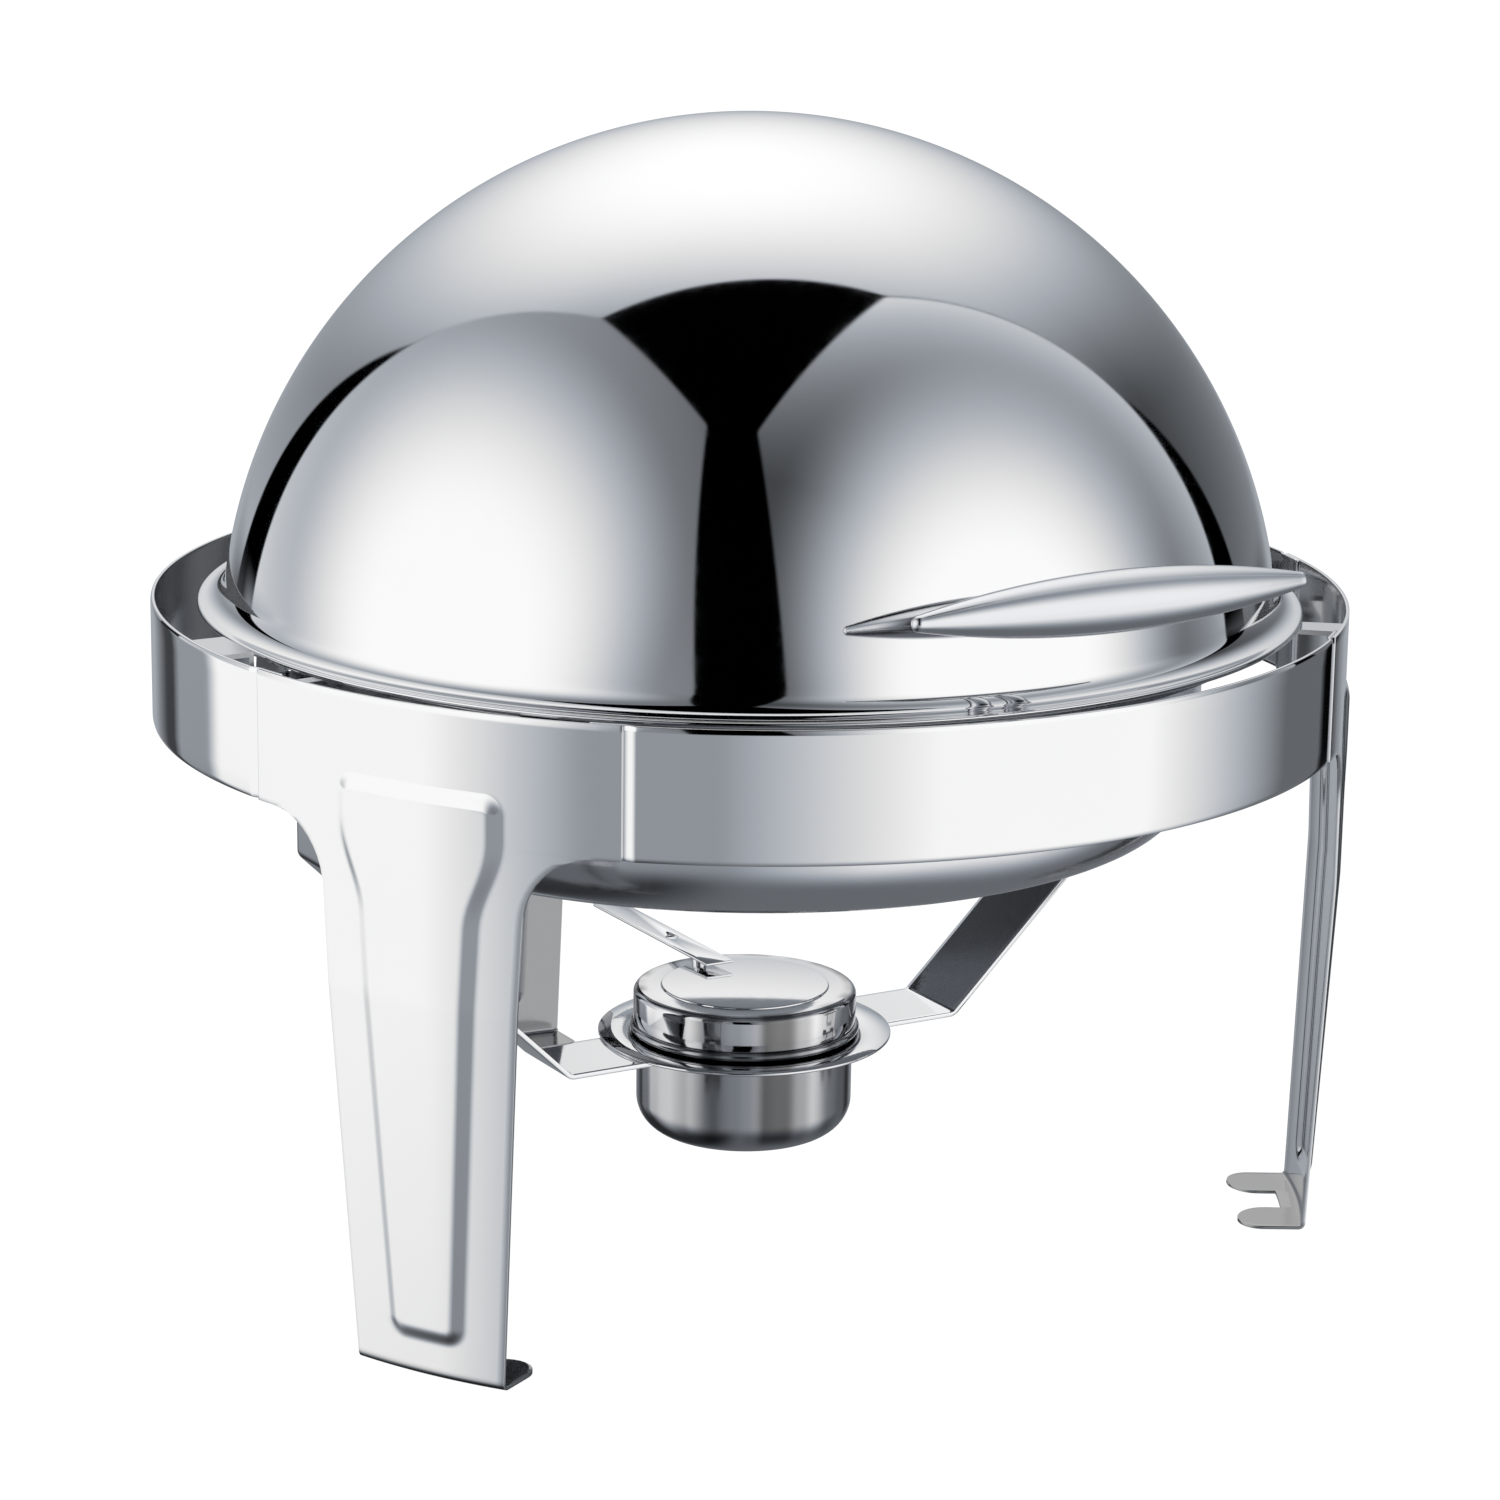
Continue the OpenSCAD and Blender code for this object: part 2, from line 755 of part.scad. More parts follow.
module burner_ring() {
    color("gainsboro") placed() translate([0, 0, burner_z]) difference() {
        cylinder(r = burner_ring_r, h = burner_ring_t);
        translate([0, 0, -1]) cylinder(r = hole_r, h = burner_ring_t + 2);
    }
}

module fuel_cup() {
    color("darkgray") placed() rotate_extrude() {
        translate([0, cup_z0]) square([cup_flat_r, cup_t]);
        translate([cup_flat_r, cup_z0 + cup_corner]) intersection() {
            difference() {
                circle(cup_corner);
                circle(cup_corner - cup_t);
            }
            translate([0, -cup_corner]) square(cup_corner);
        }
        translate([cup_r - cup_t, cup_z0 + cup_corner]) square([cup_t, cup_depth - cup_corner]);
        translate([cup_r + 1, burner_top + cup_bead_d / 2]) difference() {
            circle(d = cup_bead_d, $fn = 32);
            translate([-cup_bead_d - 1 - cup_t, -cup_bead_d]) square([cup_bead_d, 2 * cup_bead_d]);
        }
    }
}

module cup_lid() {
    color("silver") placed() rotate_extrude() {
        translate([skirt_in, skirt_z0]) square([cup_t, skirt_h - cup_lid_edge_r]);
        translate([skirt_out - cup_lid_edge_r, cup_lid_top - cup_lid_edge_r]) intersection() {
            difference() {
                circle(cup_lid_edge_r, $fn = 32);
                circle(cup_lid_edge_r - cup_t, $fn = 32);
            }
            square(cup_lid_edge_r);
        }
        translate([cup_disc_r - cup_t, cup_lid_top - cup_t])
            square([skirt_out - cup_lid_edge_r - cup_disc_r + cup_t, cup_t]);
        translate([cup_disc_r - cup_t, cup_lid_top - cup_t]) square([cup_t, cup_t + cup_disc_rise]);
        translate([0, disc_top - cup_t]) square([cup_disc_r, cup_t]);
    }
}

module cup_lid_handle() {
    color("silver") placed() translate([0, 0, strip_z]) difference() {
        translate([-strip_w / 2, strip_from, 0]) cube([strip_w, strip_len, strip_t]);
        translate([0, strip_hole_y, -1]) cylinder(d = strip_hole_d, h = strip_t + 2);
    }
}

module cup_lid_stud() {
    color("gray") placed() translate([0, stud_y, cup_lid_top])
        cylinder(d = stud_d, h = strip_z - cup_lid_top);
}

front_left_leg();
front_right_leg();
rear_leg();
front_band();
left_band();
right_band();
left_pivot_bracket();
right_pivot_bracket();
pivot_pins();
pivot_bushes();
pivot_nuts();
pan_carrier();
left_burner_arm();
right_burner_arm();
burner_ring();
water_pan();
food_pan();
lid_shell();
left_lid_ear();
right_lid_ear();
handle();
handle_screws();
handle_washers();
fuel_cup();
cup_lid();
cup_lid_handle();
cup_lid_stud();
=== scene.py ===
# %% [markdown]
# # A roll top chafer in polished steel
# This lesson builds a round buffet chafer: a mirror-bright dome that rolls back on side
# pivots, over two pans, in a banded stand on three pressed legs with a hanging burner.
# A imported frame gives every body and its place. The steel pieces that carry reflections are
# made again here with smooth, close meshes, and the small hardware keeps the frame's solids.

# %% Load the frame
import json
import math

import bmesh
import bpy
from mathutils import Matrix, Vector


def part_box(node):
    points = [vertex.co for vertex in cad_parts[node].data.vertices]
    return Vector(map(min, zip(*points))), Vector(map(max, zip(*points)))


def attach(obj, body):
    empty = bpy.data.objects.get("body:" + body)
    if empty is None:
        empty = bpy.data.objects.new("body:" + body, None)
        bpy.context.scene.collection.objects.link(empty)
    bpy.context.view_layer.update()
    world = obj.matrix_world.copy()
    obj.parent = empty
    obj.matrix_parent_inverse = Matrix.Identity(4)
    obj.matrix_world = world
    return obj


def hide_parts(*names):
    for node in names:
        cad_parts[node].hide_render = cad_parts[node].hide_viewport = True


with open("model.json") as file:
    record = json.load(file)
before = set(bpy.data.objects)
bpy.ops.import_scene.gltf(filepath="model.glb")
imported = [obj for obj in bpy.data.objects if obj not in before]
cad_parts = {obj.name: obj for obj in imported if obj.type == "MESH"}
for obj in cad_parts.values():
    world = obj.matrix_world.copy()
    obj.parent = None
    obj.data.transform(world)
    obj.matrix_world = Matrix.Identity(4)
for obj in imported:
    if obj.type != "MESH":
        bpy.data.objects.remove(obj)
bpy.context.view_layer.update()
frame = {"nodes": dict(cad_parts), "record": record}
nodes = frame["nodes"]
MM = 0.001

# %% [markdown]
# The stand is round, so most sizes hang on one centre line. Two boxes from the frame give
# it: the burner ring's middle is the axis, and the legs' tops give the band's upper edge.
# Everything below is measured from these in millimetres and turned into metres at the end.

# %% Sizes of the stand, the dome and the pivot, in millimetres
ring_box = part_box("burner_ring")
lid_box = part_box("lid_shell")
leg_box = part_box("rear_leg")
RING_Y = (ring_box[0].y + ring_box[1].y) / 2 / MM
STAND_H = leg_box[1].z / MM
RING_R = 250.0
SHEET = 1.4
FACE_R = RING_R - SHEET
BAND_H = 52.0
BAND_Z0 = STAND_H - BAND_H
PIVOT_Z = STAND_H - 23.5
BRIM_R = (lid_box[1].x - lid_box[0].x) / 2 / MM
DOME_R = lid_box[1].z / MM - PIVOT_Z
print("axis y %.2f, band top %.1f, dome radius %.1f" % (RING_Y, STAND_H, DOME_R))


def at(x, y, z):
    """A point given from the stand's axis and the table, in millimetres."""
    return Vector((x * MM, (y + RING_Y) * MM, z * MM))


def round_axis(radius, angle, z):
    """Angle in radians from the front (-Y) towards +X."""
    return at(radius * math.sin(angle), -radius * math.cos(angle), z)


# %% [markdown]
# Steel is one material in several finishes. A metallic shader with a low roughness is enough
# for a mirror, but a real pressed sheet isn't perfect: faint waves bend its reflections, and
# handling leaves a haze. Both come from noise on Object coordinates, so they stay put when
# a piece moves. Satin parts add fine turned or drawn lines.

# %% A node helper
class Graph:
    """Adds nodes to a tree and links what it is given, numbers or sockets alike."""

    def __init__(self, tree):
        self.tree = tree

    def add(self, kind, inputs=(), **settings):
        node = self.tree.nodes.new(kind)
        for key, value in settings.items():
            setattr(node, key, value)
        for key, value in dict(inputs).items():
            if isinstance(value, bpy.types.NodeSocket):
                self.tree.links.new(value, node.inputs[key])
            else:
                node.inputs[key].default_value = value
        return node

    def math(self, operation, a, b=0.0, c=0.0, clamp=False):
        return self.add("ShaderNodeMath", {0: a, 1: b, 2: c}, operation=operation,
                        use_clamp=clamp).outputs[0]

    def dot(self, a, b):
        return self.add("ShaderNodeVectorMath", {0: a, 1: tuple(b)},
                        operation="DOT_PRODUCT").outputs["Value"]

    def smooth(self, value, low, high, to_low=0.0, to_high=1.0):
        return self.add("ShaderNodeMapRange", {"Value": value, "From Min": low,
                        "From Max": high, "To Min": to_low, "To Max": to_high},
                        interpolation_type="SMOOTHSTEP").outputs["Result"]


# %% The steel finishes
def steel(name, colour, rough, haze, wave=0.0, lines=None, line_depth=0.0, darken=None):
    """A steel finish. lines is the scale of a stretched noise that draws tool marks, and
    darken takes (graph, object coordinates) and returns a share of the colour to keep, which paints
    shade or reflection streaks into it."""
    mat = bpy.data.materials.new(name)
    mat.use_nodes = True
    g = Graph(mat.node_tree)
    bsdf = mat.node_tree.nodes["Principled BSDF"]
    bsdf.inputs["Metallic"].default_value = 1.0
    where = g.add("ShaderNodeTexCoord").outputs["Object"]
    cloud = g.add("ShaderNodeTexNoise", {"Vector": where, "Scale": 9.0, "Detail": 3.0})
    fine = g.add("ShaderNodeTexNoise", {"Vector": where, "Scale": 220.0, "Detail": 2.0})
    mixed = g.math("MULTIPLY_ADD", fine.outputs["Fac"], 0.35,
                   g.math("MULTIPLY", cloud.outputs["Fac"], 0.65))
    rough_out = g.smooth(mixed, 0.35, 0.65, rough, rough + haze)
    mat.node_tree.links.new(rough_out, bsdf.inputs["Roughness"])
    tint = g.add("ShaderNodeMix", {0: cloud.outputs["Fac"]}, data_type="RGBA")
    tint.inputs[6].default_value = (*[c * 0.97 for c in colour], 1)
    tint.inputs[7].default_value = (*[min(1.0, c * 1.02) for c in colour], 1)
    shade = tint.outputs[2]
    if darken:
        shade = g.add("ShaderNodeVectorMath", {0: shade, "Scale": darken(g, where)},
                      operation="SCALE").outputs[0]
    mat.node_tree.links.new(shade, bsdf.inputs["Base Color"])
    bump = None
    if wave:
        swell = g.add("ShaderNodeTexNoise", {"Vector": where, "Scale": 14.0, "Detail": 0.0})
        bump = g.add("ShaderNodeBump", {"Height": swell.outputs["Fac"], "Strength": 1.0,
                                        "Distance": wave})
    if lines:
        stretched = g.add("ShaderNodeMapping", {"Vector": where, "Scale": lines})
        marks = g.add("ShaderNodeTexNoise", {"Vector": stretched.outputs[0], "Scale": 1.0,
                                             "Detail": 4.0})
        bump = g.add("ShaderNodeBump", {"Height": marks.outputs["Fac"], "Strength": 1.0,
                                        "Distance": line_depth})
    if bump:
        mat.node_tree.links.new(bump.outputs["Normal"], bsdf.inputs["Normal"])
    return mat


def painted_foot_shade(g, where):
    """Painted shade: the colour of the turned-in feet, next to the table, is darkened."""
    return g.smooth(g.add("ShaderNodeSeparateXYZ", {0: where}).outputs["Z"],
                    0.0016, 0.0045, 0.42, 1.0)


def painted_wall_streaks(g, where):
    """Painted reflections: dark upright streaks are painted into the colour of a cup's wall, and
    none on its flat middle.
    """
    split = g.add("ShaderNodeSeparateXYZ", {0: where})
    y = g.math("SUBTRACT", split.outputs["Y"], RING_Y * MM)
    radius = g.math("SQRT", g.math("ADD", g.math("MULTIPLY", split.outputs["X"],
                                                 split.outputs["X"]), g.math("MULTIPLY", y, y)))
    round_it = g.add("ShaderNodeCombineXYZ", {"X": g.math("DIVIDE", split.outputs["X"], radius),
                                              "Y": g.math("DIVIDE", y, radius)})
    streaks = g.add("ShaderNodeTexNoise", {"Vector": round_it.outputs[0], "Scale": 2.3,
                                           "Detail": 1.5, "Roughness": 0.45})
    keep = g.smooth(streaks.outputs["Fac"], 0.34, 0.62, 0.22, 1.0)
    wall = g.smooth(radius, 0.041, 0.0455)
    return g.math("ADD", g.math("SUBTRACT", 1.0, wall), g.math("MULTIPLY", wall, keep))


FINISH = {
    "polished_steel": steel("Mirror steel", (0.90, 0.90, 0.905), 0.025, 0.03, wave=0.00003),
    "burner_steel": steel("Burner mirror steel", (0.86, 0.865, 0.875), 0.03, 0.05, wave=0.00004),
    # The snuffer lid's skirt and the cup's wall get painted reflection streaks in their colour.
    "cup_lid_steel": steel("Snuffer mirror steel", (0.88, 0.88, 0.89), 0.04, 0.05,
                           darken=painted_wall_streaks),
    "cup_steel": steel("Cup steel with painted streaks", (0.60, 0.605, 0.62), 0.12, 0.06, darken=painted_wall_streaks),
    "handle_metal": steel("Satin cast handle", (0.78, 0.79, 0.81), 0.13, 0.05,
                          lines=(30, 900, 900), line_depth=0.000008),
    "pan_steel": steel("Satin pan steel", (0.80, 0.81, 0.83), 0.15, 0.06,
                       lines=(30, 30, 1500), line_depth=0.000006),
    "bracket_steel": steel("Plain bracket steel", (0.72, 0.73, 0.74), 0.14, 0.08),
    "fastener_steel": steel("Fastener steel", (0.60, 0.60, 0.61), 0.20, 0.10),
}
# The legs' turned-in feet get painted shade in their colour.
LEG_STEEL = steel("Leg steel", (0.90, 0.90, 0.905), 0.07, 0.04, wave=0.00003, darken=painted_foot_shade)
# Faces that look in towards the axis get a rougher steel whose dark colour is painted shade.
INSIDE_PAINTED_SHADE = steel("Inside steel with painted shade", (0.34, 0.345, 0.355), 0.10, 0.08)
print("finishes:", ", ".join(FINISH))

# %% Give the frame's own solids their finishes
for part in frame["record"]["subparts"]:
    solid = nodes[part["node"]]
    solid.data.materials.clear()
    solid.data.materials.append(FINISH[part["material_slot"]])


# %% [markdown]
# Round sheet pieces, such as the dome, the pans and the cup, are turned: one section, spun
# about an axis. Blender's Spin tool or a Screw modifier would do it. A Geometry Nodes tree
# is used because the number of segments stays a named input and the tree closes its own
# seam: it lays a grid, reads the section's points by row, and turns each column.

# %% The turning tree
def turning_tree():
    tree = bpy.data.node_groups.new("Turn a section", "GeometryNodeTree")
    face = tree.interface
    face.new_socket("Section", in_out="INPUT", socket_type="NodeSocketGeometry")
    count = face.new_socket("Segments", in_out="INPUT", socket_type="NodeSocketInt")
    count.default_value = 96
    face.new_socket("Finish", in_out="INPUT", socket_type="NodeSocketMaterial")
    face.new_socket("Piece", in_out="OUTPUT", socket_type="NodeSocketGeometry")
    g = Graph(tree)
    inside = g.add("NodeGroupInput")
    section, segments, finish = inside.outputs[:3]
    size = g.add("GeometryNodeAttributeDomainSize", {"Geometry": section})
    points = size.outputs["Point Count"]
    columns = g.math("ADD", segments, 1.0)
    grid = g.add("GeometryNodeMeshGrid", {"Vertices X": columns, "Vertices Y": points})
    index = g.add("GeometryNodeInputIndex").outputs[0]
    column = g.math("FLOOR", g.math("DIVIDE", g.math("ADD", index, 0.5), points))
    row = g.math("SUBTRACT", index, g.math("MULTIPLY", column, points))
    place = g.add("GeometryNodeInputPosition").outputs[0]
    read = g.add("GeometryNodeSampleIndex", {"Geometry": section, "Index": row},
                 data_type="FLOAT_VECTOR")
    tree.links.new(place, read.inputs["Value"])
    split = g.add("ShaderNodeSeparateXYZ", {0: read.outputs[0]})
    turn = g.math("MULTIPLY", g.math("DIVIDE", column, segments), 2 * math.pi)
    around = g.add("ShaderNodeCombineXYZ", {
        "X": g.math("MULTIPLY", split.outputs["X"], g.math("COSINE", turn)),
        "Y": g.math("MULTIPLY", split.outputs["X"], g.math("SINE", turn)),
        "Z": split.outputs["Z"]})
    moved = g.add("GeometryNodeSetPosition", {"Geometry": grid.outputs["Mesh"],
                                              "Position": around.outputs[0]})
    closed = g.add("GeometryNodeMergeByDistance", {"Geometry": moved.outputs[0],
                                                   "Distance": 0.000002})
    real = g.add("GeometryNodeRealizeInstances", {"Geometry": closed.outputs[0]})
    done = g.add("GeometryNodeSetMaterial", {"Geometry": real.outputs[0], "Material": finish})
    outside = g.add("NodeGroupOutput")
    tree.links.new(done.outputs[0], outside.inputs[0])
    return tree


TURNING = turning_tree()


# %% Finishing a mesh
def finished(name, mesh, body, slot, replaced, sharp=32.0, looks=()):
    """Points the faces outwards, shades the piece and puts it on its body. looks may give
    its own material, and a second one, a darker steel painted as shade, for the faces that look in
    towards the stand's axis."""
    bm = bmesh.new()
    bm.from_mesh(mesh)
    bmesh.ops.remove_doubles(bm, verts=bm.verts, dist=1e-6)
    bmesh.ops.dissolve_degenerate(bm, edges=bm.edges, dist=1e-7)
    bmesh.ops.recalc_face_normals(bm, faces=bm.faces)
    open_edges = sum(1 for e in bm.edges if len(e.link_faces) != 2)
    bm.to_mesh(mesh)
    bm.free()
    for polygon in mesh.polygons:
        polygon.use_smooth = True
    mesh.set_sharp_from_angle(angle=math.radians(sharp))
    mesh.materials.clear()
    for look in looks or [FINISH[slot]]:
        mesh.materials.append(look)
    # Faces looking in towards the axis take the second look, the painted shade.
    for polygon in mesh.polygons:
        out = Vector((polygon.center.x, polygon.center.y - RING_Y * MM, 0)).normalized()
        polygon.material_index = int(len(looks) > 1 and polygon.normal.dot(out) < -0.3)
    piece = bpy.data.objects.new(name, mesh)
    bpy.context.scene.collection.objects.link(piece)
    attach(piece, body)
    if replaced:
        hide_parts(*replaced)
    print("%s: %d faces, %d open edges" % (name, len(mesh.polygons), open_edges))
    return piece


def evaluated_mesh(obj):
    """The object's mesh with its modifiers worked out; the object itself is removed."""
    depsgraph = bpy.context.evaluated_depsgraph_get()
    mesh = bpy.data.meshes.new_from_object(obj.evaluated_get(depsgraph))
    bpy.data.objects.remove(obj)
    return mesh


def section_object(name, section):
    mesh = bpy.data.meshes.new(name)
    mesh.from_pydata([(r * MM, 0, z * MM) for r, z in section],
                     [(i, i + 1) for i in range(len(section) - 1)], [])
    obj = bpy.data.objects.new(name, mesh)
    bpy.context.scene.collection.objects.link(obj)
    return obj


def turned_mesh(name, section, segments, slot, place):
    """section is a list of (radius, height) in millimetres; place puts it in the frame."""
    obj = section_object(name, section)
    mod = obj.modifiers.new("turn", "NODES")
    mod.node_group = TURNING
    sockets = {s.name: s.identifier for s in TURNING.interface.items_tree if s.in_out == "INPUT"}
    mod[sockets["Segments"]] = segments
    mod[sockets["Finish"]] = FINISH[slot]
    mesh = evaluated_mesh(obj)
    mesh.transform(place)
    return mesh


def upright(z=0.0):
    return Matrix.Translation(at(0, 0, z))


def bow(cx, cz, r, a0, a1, steps):
    """Points of an arc in (radius, height); angles in degrees."""
    out = []
    for i in range(steps + 1):
        a = math.radians(a0 + (a1 - a0) * i / steps)
        out.append((cx + r * math.cos(a), cz + r * math.sin(a)))
    return out


# %% [markdown]
# The dome is the face of the whole object, so its section follows the real pressing: a
# sphere, a hollow blend at its foot, a flat brim and a rolled wire edge. Close steps matter
# more than subdivision here, because a mirror shows every wobble of its normals.

# %% The dome
LID_T = 1.0
BRIM_UP, BLEND_R, ROLL_D = 21.5, 9.0, 2.4
DOME_IN = DOME_R - LID_T
blend_z = BRIM_UP + BLEND_R
blend_x = math.sqrt((DOME_R + BLEND_R) ** 2 - blend_z ** 2)
foot_angle = math.degrees(math.atan2(blend_z, blend_x))
roll_x, roll_z = BRIM_R - ROLL_D / 2, BRIM_UP - ROLL_D / 2
lid_section = (
    bow(0, 0, DOME_R, 90, foot_angle, 120)
    + bow(blend_x, blend_z, BLEND_R, 180 + foot_angle, 270, 14)[1:]
    + bow(roll_x, roll_z, ROLL_D / 2, 90, -190, 18)
    + bow(blend_x, blend_z, BLEND_R + LID_T, 270, 180 + foot_angle, 10)
    + bow(0, 0, DOME_IN, foot_angle, 90, 60)[1:])
lid_section[0] = (0.0, DOME_R)
lid_section[-1] = (0.0, DOME_IN)
dome = finished("dome", turned_mesh("dome", lid_section, 288, "polished_steel", upright(PIVOT_Z)),
                "lid", "polished_steel", ["lid_shell"], sharp=50)


# %% [markdown]
# The pans, the fuel cup and its snuffer lid are turned in the same way. Each wall is given
# its real thickness, so an open pan has a true lip instead of a paper edge.

# %% The pans
PAN_T = 0.9
SEAT = 13.5


def pan_section(r, floor, seat, corner, rim_r, roll):
    """Closed section of a pan: inside from the centre out, round the rim, back underneath."""
    top = seat + PAN_T
    if roll:
        edge = bow(rim_r - roll / 2, top - PAN_T + roll / 2, roll / 2, -90, 200, 14)
    else:
        edge = [(rim_r - 0.3, top - PAN_T), (rim_r, top - PAN_T + 0.3), (rim_r, top - 0.3),
                (rim_r - 0.3, top)]
    lip = 2.0
    inside = ([(0, floor + PAN_T)] + bow(r - corner, floor + corner, corner - PAN_T, -90, 0, 14)
              + bow(r - PAN_T + lip, top - lip, lip, 180, 90, 6))
    outside = (bow(r + lip, top - PAN_T - lip, lip, 90, 180, 6)
               + bow(r - corner, floor + corner, corner, 0, -90, 14) + [(0, floor)])
    return inside + edge[::-1] + outside


water_section = pan_section(DOME_IN - 30, SEAT + PAN_T - 84.5, SEAT, 25, DOME_IN - 7, 0)
food_r = DOME_IN - 30 - PAN_T - 9
food_section = pan_section(food_r, SEAT + 2 * PAN_T - 65, SEAT + PAN_T, 22, food_r + 17, 3.2)
finished("water_tray", turned_mesh("water_tray", water_section, 192, "pan_steel", upright(PIVOT_Z)),
         "water_pan", "pan_steel", ["water_pan"])
finished("food_tray", turned_mesh("food_tray", food_section, 192, "pan_steel", upright(PIVOT_Z)),
         "food_pan", "pan_steel", ["food_pan"])

# %% The burner ring, the cup and the snuffer lid
cup_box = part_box("fuel_cup")
cap_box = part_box("cup_lid")
CUP_T = 0.8
CUP_R, CUP_CORNER, BEAD = 46.4, 15.0, 4.0
CUP_Z0, CUP_Z1 = cup_box[0].z / MM, cup_box[1].z / MM
RING_TOP = ring_box[1].z / MM
RING_T = 1.2
HOLE_R = CUP_R + 0.6
RING_OUT = HOLE_R + 16
ring_section = [(HOLE_R, RING_TOP - RING_T + 0.2), (HOLE_R, RING_TOP - 0.2),
                (HOLE_R + 0.2, RING_TOP), (RING_OUT - 0.2, RING_TOP), (RING_OUT, RING_TOP - 0.2),
                (RING_OUT, RING_TOP - RING_T + 0.2), (RING_OUT - 0.2, RING_TOP - RING_T),
                (HOLE_R + 0.2, RING_TOP - RING_T), (HOLE_R, RING_TOP - RING_T + 0.2)]
finished("burner_plate", turned_mesh("burner_plate", ring_section, 128, "burner_steel", upright()),
         "frame", "burner_steel", ["burner_ring"], sharp=50)
cup_section = (
    [(0, CUP_Z0)] + bow(CUP_R - CUP_CORNER, CUP_Z0 + CUP_CORNER, CUP_CORNER, -90, 0, 16)
    + bow(CUP_R + 1, RING_TOP + BEAD / 2, BEAD / 2, -118, 118, 16)
    + [(CUP_R, CUP_Z1 - 0.2), (CUP_R - 0.2, CUP_Z1), (CUP_R - CUP_T + 0.2, CUP_Z1),
       (CUP_R - CUP_T, CUP_Z1 - 0.2)]
    + bow(CUP_R - CUP_CORNER, CUP_Z0 + CUP_CORNER, CUP_CORNER - CUP_T, 0, -90, 16)
    + [(0, CUP_Z0 + CUP_T)])
finished("gel_cup", turned_mesh("gel_cup", cup_section, 128, "cup_steel", upright()),
         "fuel_cup", "cup_steel", ["fuel_cup"])
CAP_IN, CAP_OUT = CUP_R + 0.7, cap_box[1].x / MM
CAP_TOP = cap_box[1].z / MM
CAP_LOW, CAP_EDGE, DISC_R, DISC_UP = cap_box[0].z / MM, 3.0, 36.0, 0.8
shelf = CAP_TOP - DISC_UP
cap_section = (
    [(0, CAP_TOP)] + bow(DISC_R - 0.5, CAP_TOP - 0.5, 0.5, 90, 0, 5)
    + bow(DISC_R + 0.3, shelf + 0.3, 0.3, 180, 270, 4)
    + bow(CAP_OUT - CAP_EDGE, shelf - CAP_EDGE, CAP_EDGE, 90, 0, 12)
    + bow(CAP_OUT - CUP_T / 2, CAP_LOW + CUP_T / 2, CUP_T / 2, 0, -180, 8)
    + bow(CAP_OUT - CAP_EDGE, shelf - CAP_EDGE, CAP_EDGE - CUP_T, 0, 90, 8)
    + [(DISC_R - CUP_T, shelf - CUP_T), (DISC_R - CUP_T, CAP_TOP - CUP_T), (0, CAP_TOP - CUP_T)])
finished("snuffer_cap", turned_mesh("snuffer_cap", cap_section, 128, "cup_lid_steel", upright()),
         "cup_lid", "cup_lid_steel", ["cup_lid"])


# %% [markdown]
# Legs, band and burner arms are bent sheet. One builder makes them all: it is given a grid
# of columns and rows, a rule that says which cells are metal, and a rule that places a
# point on the outer or the inner face. It joins the two faces with a rim along every free
# edge, and a small bevel softens that rim, as deburring does.

# %% The sheet builder
def bent_sheet(name, rows, columns, metal, place, soften):
    """metal(r, c) tells if a cell exists; place(r, c, inner) gives a point in metres."""
    bm = bmesh.new()
    made = {}

    def corner(r, c, inner):
        if (r, c, inner) not in made:
            made[r, c, inner] = bm.verts.new(place(r, c, inner))
        return made[r, c, inner]

    cells = {(r, c) for r in range(rows) for c in range(columns) if metal(r, c)}
    for r, c in cells:
        square = [(r, c), (r, c + 1), (r + 1, c + 1), (r + 1, c)]
        bm.faces.new([corner(*p, False) for p in square])
        bm.faces.new([corner(*p, True) for p in reversed(square)])
        beside = [(r - 1, c), (r, c + 1), (r + 1, c), (r, c - 1)]
        for i, neighbour in enumerate(beside):
            if neighbour not in cells:
                a, b = square[i], square[(i + 1) % 4]
                bm.faces.new([corner(*a, False), corner(*a, True), corner(*b, True),
                              corner(*b, False)])
    bmesh.ops.remove_doubles(bm, verts=bm.verts, dist=1e-6)
    bmesh.ops.recalc_face_normals(bm, faces=bm.faces)
    mesh = bpy.data.meshes.new(name)
    bm.to_mesh(mesh)
    bm.free()
    obj = bpy.data.objects.new(name, mesh)
    bpy.context.scene.collection.objects.link(obj)
    bevel = obj.modifiers.new("deburr", "BEVEL")
    bevel.width = soften * MM
    bevel.segments = 2
    bevel.limit_method = "ANGLE"
    bevel.angle_limit = math.radians(50)
    return evaluated_mesh(obj)


# %% [markdown]
# A leg is one stamping: two shoulders that follow the band, a tapering shank with a softly
# pressed panel, and a foot that turns in and splits in two prongs. The columns run along
# the panel's edges, so the pressed slope gets close rows without a heavy mesh. The panel's
# height is a distance field with a smooth step, which gives the soft shadow line.

# %% Measures of a leg
LEG_TOP, FOOT_W, FILLET, LEAN_Z, LEAN = 94.0, 68.0, 28.0, 155.0, 6.5
BEND, FOOT_DEPTH, FOOT_ROOT, GAP = 3.0, 29.0, 10.0, 21.0
SHOULDER_ANGLE = math.radians(19.3)
SHOULDER_X = RING_R * math.sin(SHOULDER_ANGLE)
PANEL_RISE, PANEL_HEAD, PANEL_MARGIN, PANEL_LOW = 1.8, 38.6, 16.5, 14.0
PANEL_TOP, PANEL_CORNER, PANEL_NECK = STAND_H - 30.0, 9.0, 36.0
SLOPE_W = 7.5
FOOT_R = RING_R - LEAN
taper = (LEG_TOP - FOOT_W) / 2 / (BAND_Z0 - BEND)
fillet_z = BAND_Z0 - FILLET


def leg_half(z):
    return FOOT_W / 2 + taper * (z - BEND)


fillet_x = leg_half(fillet_z) + FILLET / math.cos(math.atan(taper))


